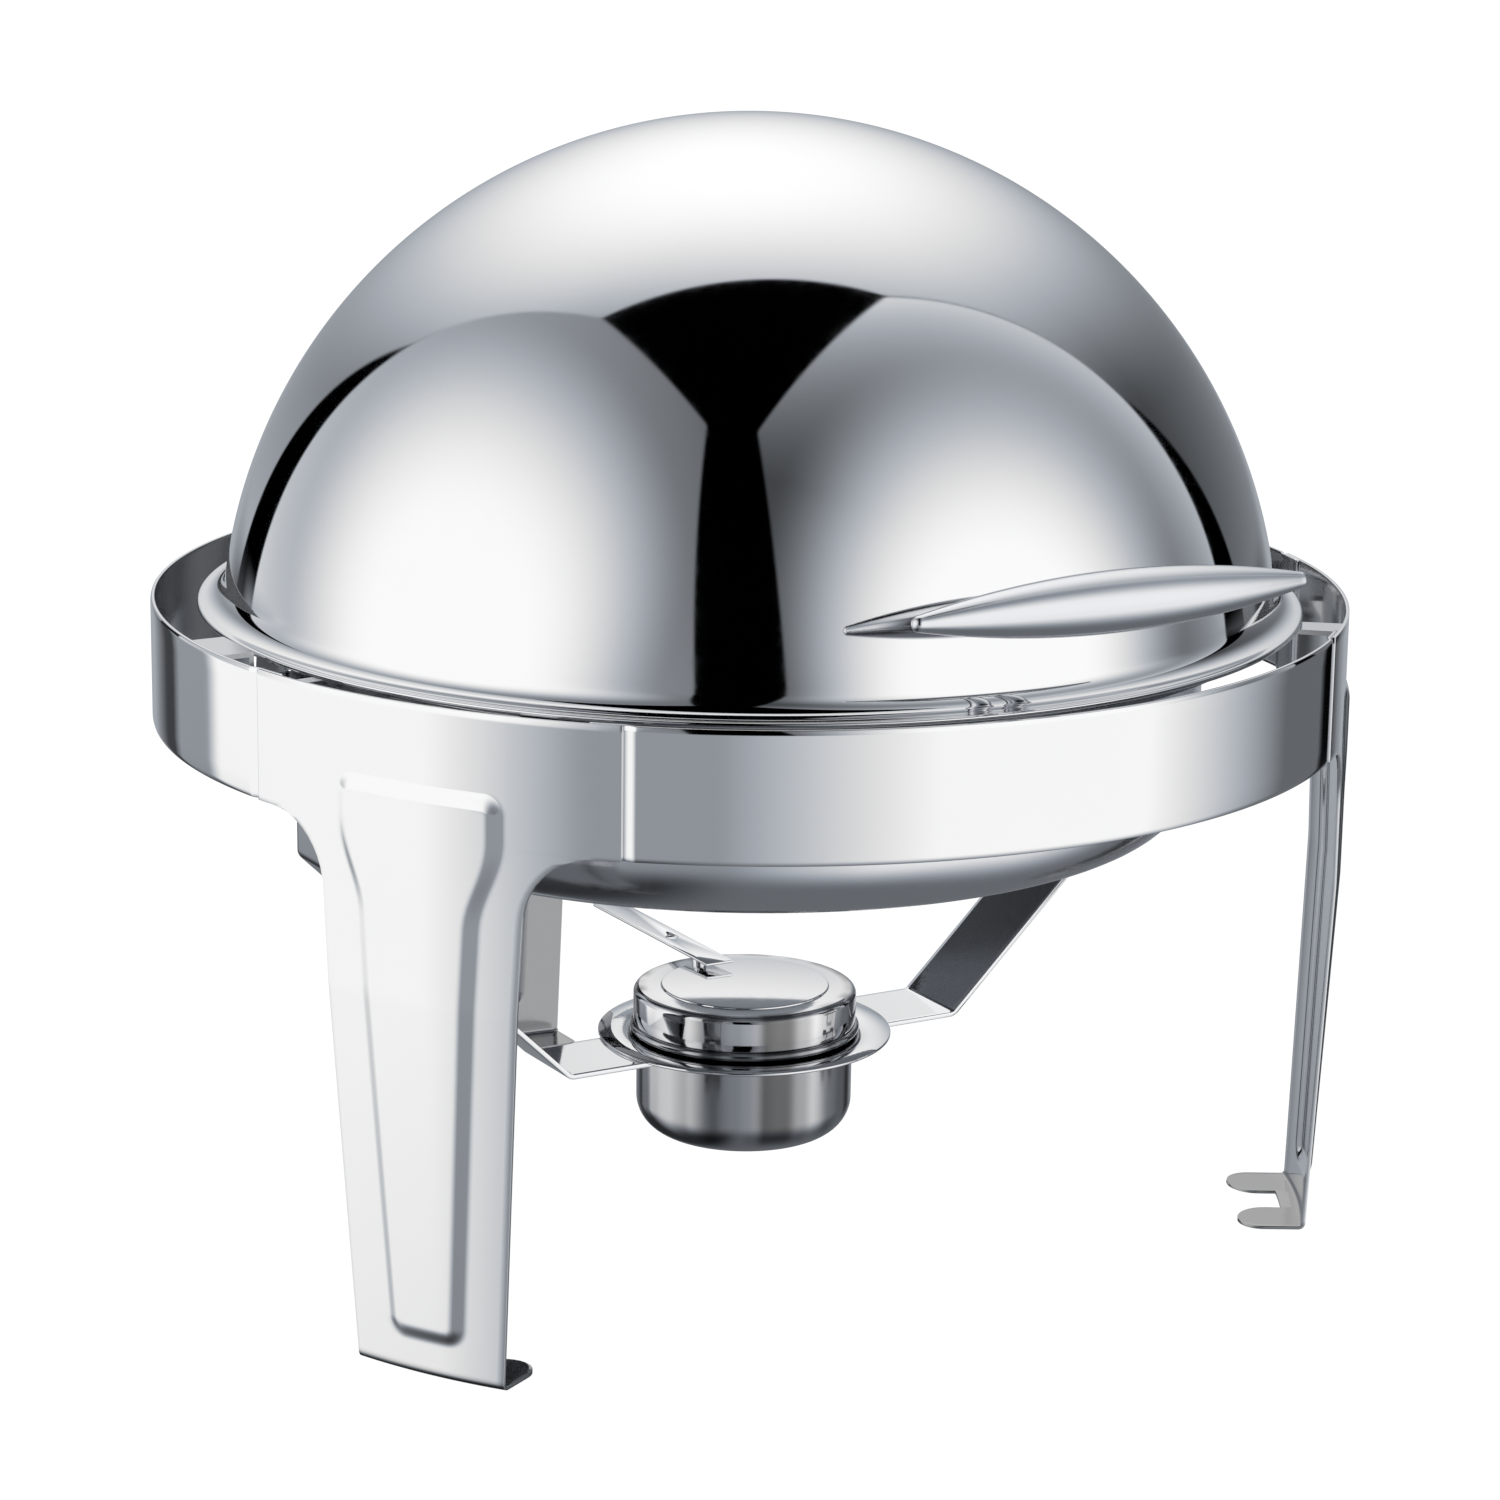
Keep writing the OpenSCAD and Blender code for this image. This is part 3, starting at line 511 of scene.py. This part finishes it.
def edge_half(z):
    """Half width of the leg at a height, through the fillet below the shoulders."""
    if z <= fillet_z:
        return leg_half(z)
    if z >= BAND_Z0:
        return fillet_x
    return fillet_x - math.sqrt(max(0.0, FILLET ** 2 - (z - fillet_z) ** 2))


def ease(t):
    return (1 - math.cos(math.pi * min(max(t, 0.0), 1.0))) / 2


def panel_half(z):
    shank = leg_half(min(z, PANEL_TOP)) - PANEL_MARGIN
    neck = PANEL_TOP - 2 * PANEL_CORNER - PANEL_NECK
    return shank + (PANEL_HEAD - shank) * ease((z - neck) / PANEL_NECK)


def panel_height(x, z):
    """How far the pressed panel stands out here."""
    middle, half_h = (PANEL_TOP + PANEL_LOW) / 2, (PANEL_TOP - PANEL_LOW) / 2
    dx = abs(x) - (panel_half(z) - PANEL_CORNER)
    dz = abs(z - middle) - (half_h - PANEL_CORNER)
    outside = math.hypot(max(dx, 0), max(dz, 0)) + min(max(dx, dz), 0) - PANEL_CORNER
    return PANEL_RISE * ease(-outside / SLOPE_W)


def leg_radius(z):
    if z >= LEAN_Z:
        return RING_R
    return FOOT_R + (RING_R - FOOT_R) * (z - BEND) / (LEAN_Z - BEND)


# %% The rows and columns of a leg
def spread(a, b, n):
    return [a + (b - a) * i / n for i in range(1, n + 1)]


HALF_A, HALF_B, HALF_C, HALF_D = 5, 9, 5, 10
INNER = HALF_A + HALF_B + HALF_C
HALF = INNER + HALF_D


def wall_columns(z):
    p, w = panel_half(z), edge_half(z)
    right = (spread(0, p - 8.4, HALF_A) + spread(p - 8.4, p + 0.8, HALF_B)
             + spread(p + 0.8, w, HALF_C) + spread(w, max(SHOULDER_X, w), HALF_D))
    return [-x for x in reversed(right)] + [0.0] + right


def foot_columns(tip):
    """tip is the distance to the prongs' ends."""
    prong = (FOOT_W - GAP) / 4
    centre = (FOOT_W + GAP) / 4
    shrink = 1.0 if tip >= prong else math.sqrt(max(0.02, 1 - (1 - tip / prong) ** 2))
    right = (spread(0, GAP / 2, HALF_A) + spread(GAP / 2, 22.0, HALF_B)
             + spread(22.0, FOOT_W / 2, HALF_C) + [FOOT_W / 2] * HALF_D)
    right = [centre + (x - centre) * shrink if i >= HALF_A - 1 else x for i, x in enumerate(right)]
    return [-x for x in reversed(right)] + [0.0] + right


prong_r = (FOOT_W - GAP) / 4
wall_z = ([BEND] + spread(BEND, PANEL_LOW - 1, 5) + spread(PANEL_LOW - 1, PANEL_LOW + 10, 15)
          + spread(PANEL_LOW + 10, fillet_z, 46)
          + [fillet_z + FILLET * math.sin(math.radians(9 * i)) for i in range(1, 11)]
          + spread(BAND_Z0, PANEL_TOP - 10, 6) + spread(PANEL_TOP - 10, PANEL_TOP + 1, 15)
          + spread(PANEL_TOP + 1, STAND_H, 8))
leg_rows = []
for d in [prong_r * (1 - math.cos(math.radians(9 * i))) for i in range(0, 11)] + [
        FOOT_DEPTH - FOOT_ROOT]:
    radius = FOOT_R - FOOT_DEPTH + d
    leg_rows.append((foot_columns(d), (radius, 0.0), (radius, SHEET), None))
for angle in range(90, 0, -15):
    a = math.radians(angle)
    leg_rows.append((foot_columns(FOOT_DEPTH),
                     (FOOT_R - BEND + BEND * math.cos(a), BEND - BEND * math.sin(a)),
                     (FOOT_R - BEND + (BEND - SHEET) * math.cos(a),
                      BEND - (BEND - SHEET) * math.sin(a)), None))
for z in wall_z:
    leg_rows.append((wall_columns(z), (leg_radius(z), z), (leg_radius(z) - SHEET, z), z))
ROOT_ROW = 11
SHOULDER_ROW = next(i for i, row in enumerate(leg_rows) if row[3] and row[3] >= BAND_Z0 - 1e-6)
print("leg grid: %d rows, %d columns" % (len(leg_rows) - 1, 2 * HALF))


def leg_metal(r, c):
    side = abs(c - HALF) if c >= HALF else HALF - 1 - c
    if r < ROOT_ROW:
        return HALF_A <= side < INNER
    return side < INNER or r >= SHOULDER_ROW


# %% The three legs
def pressed_leg(name, node, azimuth, looks):
    turn = math.radians(azimuth)

    def place(r, c, inner):
        columns, outer_point, inner_point, z = leg_rows[r]
        radius, height = inner_point if inner else outer_point
        x = columns[c]
        if z is not None:
            radius += panel_height(x, z)
        return round_axis(radius, turn + math.asin(x / radius), height)

    mesh = bent_sheet(name, len(leg_rows) - 1, 2 * HALF, leg_metal, place, 0.35)
    return finished(name, mesh, "frame", "polished_steel", [node], looks=looks)


pressed_leg("left_leg", "front_left_leg", -60, [LEG_STEEL])
pressed_leg("right_leg", "front_right_leg", 60, [LEG_STEEL])
# The back leg's inner face takes the painted shade steel.
pressed_leg("back_leg", "rear_leg", 180, [LEG_STEEL, INSIDE_PAINTED_SHADE])

# %% [markdown]
# The band is rolled in three lengths. Each end steps inwards by a sheet's thickness and
# slips behind a leg's shoulder, where it is spot welded. Both edges are turned in by a hair,
# which is what draws the dark line along a real rolled band.

# %% The three band lengths
SEAM, LAP, STEP = 0.8, 13.0, 5.0
EDGE_TURN, EDGE_W = 0.45, 2.2
per_mm = 1 / RING_R
BAND_COLUMNS = 150
band_z = ([0.0, 0.35, 0.8, 1.4, EDGE_W] + spread(EDGE_W, BAND_H - EDGE_W, 8)
          + [BAND_H - 1.4, BAND_H - 0.8, BAND_H - 0.35, BAND_H])


def rolled_band(name, node, leg_a, leg_b):
    a0 = math.radians(leg_a) + SHOULDER_ANGLE + SEAM * per_mm
    a1 = math.radians(leg_b) - SHOULDER_ANGLE - SEAM * per_mm
    tuck = (LAP + SEAM) * per_mm
    step = STEP * per_mm
    angles = ([a0 - tuck] + spread(a0 - tuck, a0 - step * 0.1, 6)
              + spread(a0 - step * 0.1, a0 + step, 14)
              + spread(a0 + step, a1 - step, BAND_COLUMNS)
              + spread(a1 - step, a1 + step * 0.1, 14) + spread(a1 + step * 0.1, a1 + tuck, 6))

    def place(r, c, inner):
        inside = min(angles[c] - a0, a1 - angles[c]) + step * 0.1
        radius = FACE_R + SHEET * ease(inside / (step * 1.1))
        near = min(band_z[r], BAND_H - band_z[r])
        if near < EDGE_W:
            radius -= EDGE_TURN * (1 - near / EDGE_W) ** 2
        return round_axis(radius - (SHEET if inner else 0.0), angles[c], BAND_Z0 + band_z[r])

    mesh = bent_sheet(name, len(band_z) - 1, len(angles) - 1, lambda r, c: True, place, 0.3)
    # The band's inner face takes the painted shade steel.
    return finished(name, mesh, "frame", "polished_steel", [node],
                    looks=[FINISH["polished_steel"], INSIDE_PAINTED_SHADE])


rolled_band("front_hoop", "front_band", -60, 60)
rolled_band("right_hoop", "right_band", 60, 180)
rolled_band("left_hoop", "left_band", -180, -60)

# %% [markdown]
# Each burner arm is a strap: flat under the burner ring, bent up at a slant, and bent again
# into an upright that hangs from the pan carrier. Its path is a polyline whose corners are
# rounded with a true bend radius, because a strap never folds to a sharp line.

# %% The burner arms
STRAP_T, STRAP_W, BEND_R = 2.0, 40.0, 3.2
STRAP_Z = RING_TOP - RING_T
strap_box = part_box("right_burner_arm")
bend_x = RING_OUT + 31.0
end_x, end_z, end_top = strap_box[1].x / MM - STRAP_T, PIVOT_Z - 72.0, strap_box[1].z / MM
slant = math.atan2(end_z - STRAP_Z, end_x - bend_x)


def strap_path():
    """(distance, height, leaning) along the strap's upper face."""
    out = [(None, STRAP_Z, 0.0), (HOLE_R + 10, STRAP_Z, 0.0)]
    reach = BEND_R * math.tan(slant / 2)
    out += [(bend_x - reach + BEND_R * math.sin(a), STRAP_Z + BEND_R * (1 - math.cos(a)), a)
            for a in [slant * i / 6 for i in range(7)]]
    rest = math.pi / 2 - slant
    back = BEND_R * math.tan(rest / 2)
    start = (end_x - back * math.cos(slant), end_z - back * math.sin(slant))
    centre = (start[0] - BEND_R * math.sin(slant), start[1] + BEND_R * math.cos(slant))
    out += [(centre[0] + BEND_R * math.sin(slant + rest * i / 6),
             centre[1] - BEND_R * math.cos(slant + rest * i / 6), slant + rest * i / 6)
            for i in range(7)]
    return out + [(end_x, end_top, math.pi / 2)]


def burner_strap(name, node, side):
    path = strap_path()
    across = [STRAP_W * (i / 16 - 0.5) for i in range(17)]

    def place(r, c, under):
        x, z, lean = path[r]
        y = across[c]
        if x is None:
            x = math.sqrt(HOLE_R ** 2 - y ** 2)
        if under:
            x, z = x + STRAP_T * math.sin(lean), z - STRAP_T * math.cos(lean)
        return at(side * x, y, z)

    mesh = bent_sheet(name, len(path) - 1, 16, lambda r, c: True, place, 0.3)
    return finished(name, mesh, "frame", "burner_steel", [node])


burner_strap("left_strap", "left_burner_arm", -1)
burner_strap("right_strap", "right_burner_arm", 1)

# %% [markdown]
# The snuffer lid is lifted by a flat strip with a hanging hole. A flat filled curve with a
# hole and a tiny bevel makes a clean plate in one go.

# %% The strip
strip_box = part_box("cup_lid_handle")
STRIP_HOLE_Y, STRIP_HOLE_R = 65.0, 2.75


def strip_mesh():
    curve = bpy.data.curves.new("strip", "CURVE")
    curve.dimensions = "2D"
    curve.fill_mode = "BOTH"
    thick = (strip_box[1].z - strip_box[0].z) / MM
    soft = 0.2
    curve.extrude = (thick / 2 - soft) * MM
    curve.bevel_depth = soft * MM
    curve.bevel_resolution = 1
    curve.offset = -soft * MM
    half, near = (strip_box[1].x - strip_box[0].x) / 2 / MM, strip_box[0].y / MM - RING_Y
    far = strip_box[1].y / MM - RING_Y
    outline = [(-half, near), (half, near), (half, far), (-half, far)]
    hole = [(STRIP_HOLE_R * math.cos(a), STRIP_HOLE_Y + STRIP_HOLE_R * math.sin(a))
            for a in [math.radians(15 * i) for i in range(24)]]
    for points in (outline, hole):
        spline = curve.splines.new("POLY")
        spline.points.add(len(points) - 1)
        spline.use_cyclic_u = True
        for point, (x, y) in zip(spline.points, points):
            point.co = (x * MM, y * MM, 0, 1)
    obj = bpy.data.objects.new("strip", curve)
    bpy.context.scene.collection.objects.link(obj)
    mesh = evaluated_mesh(obj)
    mesh.transform(Matrix.Translation(at(0, 0, (strip_box[0].z + strip_box[1].z) / 2 / MM)))
    return mesh


finished("snuffer_strip", strip_mesh(), "cup_lid", "burner_steel", ["cup_lid_handle"], sharp=50)

# %% [markdown]
# The handle is a cast spindle on two short posts. The spindle's side is one long arc, which
# tapers to rounded tips. Each post's foot is laid onto the dome by asking where its side
# lines meet the sphere, so no gap shows at the joint.

# %% The handle
HANDLE_LEN, HANDLE_D, HANDLE_END = 175.0, 23.4, 6.4
POST_AT, POST_FALL, POST_D, POST_FOOT, POST_FOOT_H = 9.5, 12.0, 10.0, 13.0, 9.0
handle_r = DOME_R + 55.5
lift = math.radians(14.6)
handle_y, handle_z = -handle_r * math.cos(lift), handle_r * math.sin(lift)


def spindle_section():
    half = (HANDLE_LEN - HANDLE_END) / 2
    belly = (HANDLE_D - HANDLE_END) / 2
    arc = (half ** 2 + belly ** 2) / (2 * belly)
    out = bow(0, half, HANDLE_END / 2, 90, 0, 10)
    for i in range(1, 80):
        z = half - 2 * half * i / 80
        out.append((HANDLE_D / 2 - arc + math.sqrt(arc ** 2 - z ** 2), z))
    return out + bow(0, -half, HANDLE_END / 2, 0, -90, 10)


def meets_dome(x, y, z, dx, dy, dz):
    """Distance along a line to the dome's sphere, all from the pivot."""
    b = x * dx + y * dy + z * dz
    return -b - math.sqrt(b * b - (x * x + y * y + z * z - DOME_R ** 2))


def post_mesh(bm, side):
    fall = math.radians(POST_FALL)
    along = Vector((0, math.cos(fall), -math.sin(fall)))
    right = Vector((1, 0, 0))
    up = right.cross(along)
    start = Vector((side * POST_AT, handle_y, handle_z))
    reach = meets_dome(*start, *along)
    rings = []
    steps = 48
    for share, r in [(0.0, POST_D / 2), (1 - POST_FOOT_H / reach, POST_D / 2)] + [
            (1 - POST_FOOT_H / reach * (1 - i / 8),
             POST_D / 2 + (POST_FOOT - POST_D) / 2 * ease(i / 8) ** 1.5) for i in range(1, 9)]:
        ring = []
        for k in range(steps):
            a = 2 * math.pi * k / steps
            side_line = start + r * (math.cos(a) * right + math.sin(a) * up)
            far = meets_dome(*side_line, *along) + 0.1
            run = far if share == 1 else share * reach + (far - reach) * share ** 4
            p = side_line + along * run
            ring.append(bm.verts.new(at(p.x, p.y, p.z + PIVOT_Z)))
        rings.append(ring)
    for a, b in zip(rings, rings[1:]):
        for k in range(steps):
            bm.faces.new((a[k], a[(k + 1) % steps], b[(k + 1) % steps], b[k]))
    bm.faces.new(rings[0])
    bm.faces.new(list(reversed(rings[-1])))


lay_down = (Matrix.Translation(at(0, handle_y, handle_z + PIVOT_Z))
            @ Matrix.Rotation(math.pi / 2, 4, "Y"))
grip = turned_mesh("grip", spindle_section(), 96, "handle_metal", lay_down)
bm = bmesh.new()
bm.from_mesh(grip)
post_mesh(bm, 1)
post_mesh(bm, -1)
bm.to_mesh(grip)
bm.free()
finished("handle_casting", grip, "lid", "handle_metal", ["handle"], sharp=40)


# %% [markdown]
# A mirror is only as good as what surrounds it. The studio here is a world shader: two
# tall softboxes left and right, with a dark slit between them, and one broad softbox over
# the back. Each is a flat panel far away, so its edges are planes through the eye of the
# world, and its light fades from a bright middle to a grey rim. The table fills the lower
# half: white cards and dark flags stand round it, and it darkens steeply below the object
# and behind it. Middle greys lean a little cool, and bright ones stay white.

# %% Bearings in the studio
STUDIO_TURN = math.radians(30)


def bearing(azimuth, elevation):
    """A direction in the studio: azimuth 0 is towards the camera, positive to its right."""
    a, e = math.radians(azimuth), math.radians(elevation)
    return Vector((math.sin(a) * math.cos(e), -math.cos(a) * math.cos(e), math.sin(e)))


def softbox(g, eye, facing, middle, size, fade, rim, core, rim_tilt, spread_up):
    """Brightness of a far flat panel, as a display value from 0 to 1."""
    n = bearing(*facing)
    right = bearing(facing[0] + 90, 0)
    up = n.cross(right)
    if up.z < 0:
        up = -up
    deep = g.math("MAXIMUM", g.dot(eye, n), 0.05)
    u = g.math("DIVIDE", g.dot(eye, right), deep)
    v = g.math("DIVIDE", g.dot(eye, up), deep)
    tall = g.math("MINIMUM", g.math("MAXIMUM", v, -1.5), 1.5)
    wide = g.math("MULTIPLY", g.math("MULTIPLY_ADD", tall, spread_up, 1.0), size[0])
    a = g.math("DIVIDE", g.math("SUBTRACT", u, middle[0]), wide)
    b = g.math("DIVIDE", g.math("SUBTRACT", v, middle[1]), size[1])
    q = g.math("SQRT", g.math("ADD", g.math("MULTIPLY", a, a), g.math("MULTIPLY", b, b)))
    fall = g.smooth(q, *fade)
    low = g.math("ADD", g.math("MULTIPLY_ADD", u, rim_tilt[0], rim),
                 g.math("MULTIPLY", v, rim_tilt[1]))
    low = g.math("MINIMUM", g.math("MAXIMUM", low, 70.0), 215.0)
    shade = g.math("MULTIPLY_ADD", g.math("SUBTRACT", low, core), fall, core)
    return g.math("POWER", g.math("DIVIDE", shade, 255.0), 2.2)


def inside_edges(g, eye, facing, edges, blur):
    """1 inside all the great circles through the given pairs of bearings, 0 outside."""
    n = bearing(*facing)
    share = None
    for first, second in edges:
        wall = bearing(*first).cross(bearing(*second)).normalized()
        if wall.dot(n) < 0:
            wall = -wall
        one = g.smooth(g.dot(eye, wall), -blur, blur)
        share = one if share is None else g.math("MULTIPLY", share, one)
    return share


# %% The studio world
# Bearings where each card, flag or stretch of bare table starts and ends, and its grey from
# 0 to 255. The gaps between them are their soft edges.
TABLE_PLAN = [
    (-180, -160, 160),  # bare table behind
    (-147, -142, 65),   # narrow flag behind, on the left
    (-138, -124, 145),  # bare table
    (-119, -62, 243),   # white card on the left
    (-30, -5, 145),     # bare table in front
    (36, 80, 245),      # white card on the right
    (122, 140, 100),    # shade behind the right card
    (141, 147, 10),     # black flag behind, on the right
    (160, 180, 160),    # bare table behind
]


def studio_world():
    world = bpy.data.worlds.new("Studio")
    world.use_nodes = True
    tree = world.node_tree
    g = Graph(tree)
    sky = g.add("ShaderNodeTexCoord").outputs["Generated"]
    eye = g.add("ShaderNodeVectorRotate", {"Vector": sky, "Angle": STUDIO_TURN},
                rotation_type="Z_AXIS").outputs[0]
    split = g.add("ShaderNodeSeparateXYZ", {0: eye})
    azimuth = g.math("ARCTAN2", split.outputs["X"], g.math("MULTIPLY", split.outputs["Y"], -1.0))
    height = split.outputs["Z"]
    left = softbox(g, eye, facing=(-70, 10), middle=(0.05, -0.15), size=(1.0, 1.15),
                   fade=(0.35, 1.3), rim=155.0, core=248.0, rim_tilt=(-20.0, -20.0),
                   spread_up=0.25)
    left_in = inside_edges(g, eye, (-70, 10), [((-11, 0), (-16, 56)), ((-15, 57), (-94, 65)),
                                              ((-124, 31), (-131, 8))], 0.008)
    right = softbox(g, eye, facing=(55, 10), middle=(0.0, -0.2), size=(1.0, 1.2),
                    fade=(0.35, 1.35), rim=60.0, core=250.0, rim_tilt=(50.0, 50.0),
                    spread_up=0.1)
    right_in = inside_edges(g, eye, (55, 10), [((8, 0), (2, 57)), ((2, 57), (108, 68)),
                                              ((119, 27), (122, 0))], 0.008)
    back = softbox(g, eye, facing=(180, 50), middle=(0.05, -0.05), size=(1.0, 1.15),
                   fade=(0.1, 1.55), rim=85.0, core=254.0, rim_tilt=(20.0, -40.0),
                   spread_up=0.45)
    back_in = inside_edges(g, eye, (180, 50), [((-94, 65), (108, 68)), ((-94, 65), (-124, 31)),
                                              ((108, 68), (119, 27)), ((-124, 31), (-148, -8)),
                                              ((119, 27), (131, -2))], 0.008)
    sides = g.math("ADD", g.math("MULTIPLY", left, left_in), g.math("MULTIPLY", right, right_in))
    above = g.math("ADD", g.math("MULTIPLY", sides, g.math("SUBTRACT", 1.0, back_in)),
                   g.math("MULTIPLY", back, back_in))
    ramp = g.add("ShaderNodeValToRGB", {0: g.math("MULTIPLY_ADD", azimuth, 0.5 / math.pi, 0.5)})
    ramp.color_ramp.interpolation = "LINEAR"
    stops = ramp.color_ramp.elements
    plan = [(degrees, grey) for start, end, grey in TABLE_PLAN for degrees in (start, end)]
    while len(stops) < len(plan):
        stops.new(0.5)
    for stop, (degrees, grey) in zip(stops, plan):
        stop.position = 0.5 + degrees / 360
        light = (grey / 255) ** 2.2
        stop.color = (light, light, light, 1)
    front = g.smooth(height, math.sin(math.radians(-64)), math.sin(math.radians(-18)))
    behind = g.smooth(height, math.sin(math.radians(-32)), math.sin(math.radians(-13)))
    far = g.smooth(split.outputs["Y"], 0.05, 0.55)
    deep = g.math("ADD", g.math("MULTIPLY", front, g.math("SUBTRACT", 1.0, far)),
                  g.math("MULTIPLY", behind, far))
    under = g.smooth(split.outputs["X"], -0.30, 0.0, 0.03, 0.15)
    below = g.add("ShaderNodeCombineColor", {0: under, 1: under, 2: under})
    table = g.add("ShaderNodeMix", {0: deep}, data_type="RGBA")
    tree.links.new(below.outputs[0], table.inputs[6])
    tree.links.new(ramp.outputs[0], table.inputs[7])
    horizon = g.smooth(height, math.sin(math.radians(-9)), math.sin(math.radians(-4)))
    whole = g.add("ShaderNodeMix", {0: horizon}, data_type="RGBA")
    tree.links.new(table.outputs[2], whole.inputs[6])
    grey = g.add("ShaderNodeCombineColor", {0: above, 1: above, 2: above})
    tree.links.new(grey.outputs[0], whole.inputs[7])
    bright = g.add("ShaderNodeRGBToBW", {0: whole.outputs[2]}).outputs[0]
    cool = g.add("ShaderNodeMix", {0: g.smooth(bright, 0.35, 0.75)}, data_type="RGBA")
    cool.inputs[6].default_value = (0.93, 1.0, 1.09, 1)
    cool.inputs[7].default_value = (1.0, 1.0, 1.0, 1)
    tinted = g.add("ShaderNodeVectorMath", {0: whole.outputs[2], 1: cool.outputs[2]},
                   operation="MULTIPLY")
    back_node = tree.nodes["Background"]
    tree.links.new(tinted.outputs[0], back_node.inputs["Color"])
    back_node.inputs["Strength"].default_value = 1.12
    return world


bpy.context.scene.world = studio_world()
bpy.context.scene.view_settings.view_transform = "Standard"

# %% [markdown]
# The object stands on a plain white table in front of a plain white wall. Both glow a
# little by themselves, so they stay white however the lights fall, and both are kept out of
# reflections, because the studio world already gives the steel its surroundings.

# %% The table and the wall
def plain_white(name, glow, share):
    mat = bpy.data.materials.new(name)
    mat.use_nodes = True
    g = Graph(mat.node_tree)
    tree = mat.node_tree
    grain = g.add("ShaderNodeTexNoise", {"Scale": 4.0})
    matt = g.add("ShaderNodeBsdfDiffuse", {"Color": (0.95, 0.95, 0.95, 1)})
    strength = g.smooth(grain.outputs["Fac"], 0, 1, glow, glow + 0.01)
    light = g.add("ShaderNodeEmission", {"Strength": strength})
    mix = g.add("ShaderNodeMixShader", {0: share})
    tree.links.new(light.outputs[0], mix.inputs[1])
    tree.links.new(matt.outputs[0], mix.inputs[2])
    tree.links.new(mix.outputs[0], tree.nodes["Material Output"].inputs["Surface"])
    return mat


def stage_piece(name, mesh, material, shown_to_light):
    mesh.materials.append(material)
    obj = bpy.data.objects.new(name, mesh)
    bpy.context.scene.collection.objects.link(obj)
    obj.visible_glossy = False
    obj.visible_diffuse = shown_to_light
    obj.visible_shadow = shown_to_light
    return obj


floor_mesh = bpy.data.meshes.new("table")
floor_mesh.from_pydata([(-9, -9, -0.0003), (9, -9, -0.0003), (9, 9, -0.0003), (-9, 9, -0.0003)],
                       [], [(0, 1, 2, 3)])
stage_piece("table_top", floor_mesh, plain_white("White table", 1.10, 0.10), True)
bm = bmesh.new()
bmesh.ops.create_uvsphere(bm, u_segments=32, v_segments=16, radius=12.0)
bmesh.ops.reverse_faces(bm, faces=bm.faces)
wall_mesh = bpy.data.meshes.new("wall")
bm.to_mesh(wall_mesh)
bm.free()
stage_piece("studio_wall", wall_mesh, plain_white("White wall", 1.10, 0.0), False)

# %% [markdown]
# The camera stands 1.9 m away, a third of the way round to the left side and about 20 cm
# above the dome's top, with a long lens that keeps the ring from looking stretched.

# %% The camera
LENS, SENSOR = 107.29, 36.0
DISTANCE, ELEVATION, AIM_DOWN, AIM_SIDE, ROLL = 1.8803, 12.208, 2.099, -0.027, -0.764
camera = bpy.data.cameras.new("Camera")
camera.lens = LENS
camera.sensor_width = SENSOR
camera.clip_end = 100
view = bpy.data.objects.new("Camera", camera)
bpy.context.scene.collection.objects.link(view)
spin = Matrix.Rotation(-STUDIO_TURN, 3, "Z")
e = math.radians(ELEVATION)
eye_point = at(0, 0, STAND_H) + spin @ Vector((0, -math.cos(e), math.sin(e))) * DISTANCE
p = math.radians(ELEVATION + AIM_DOWN)
aim = spin @ Matrix.Rotation(math.radians(AIM_SIDE), 3, "Z")
forward = aim @ Vector((0, math.cos(p), -math.sin(p)))
level_right = aim @ Vector((1, 0, 0))
level_up = level_right.cross(forward)
roll = math.radians(ROLL)
cam_right = level_right * math.cos(roll) - level_up * math.sin(roll)
cam_up = level_right * math.sin(roll) + level_up * math.cos(roll)
view.matrix_world = Matrix((
    (cam_right.x, cam_up.x, -forward.x, eye_point.x),
    (cam_right.y, cam_up.y, -forward.y, eye_point.y),
    (cam_right.z, cam_up.z, -forward.z, eye_point.z),
    (0, 0, 0, 1)))
bpy.context.scene.camera = view
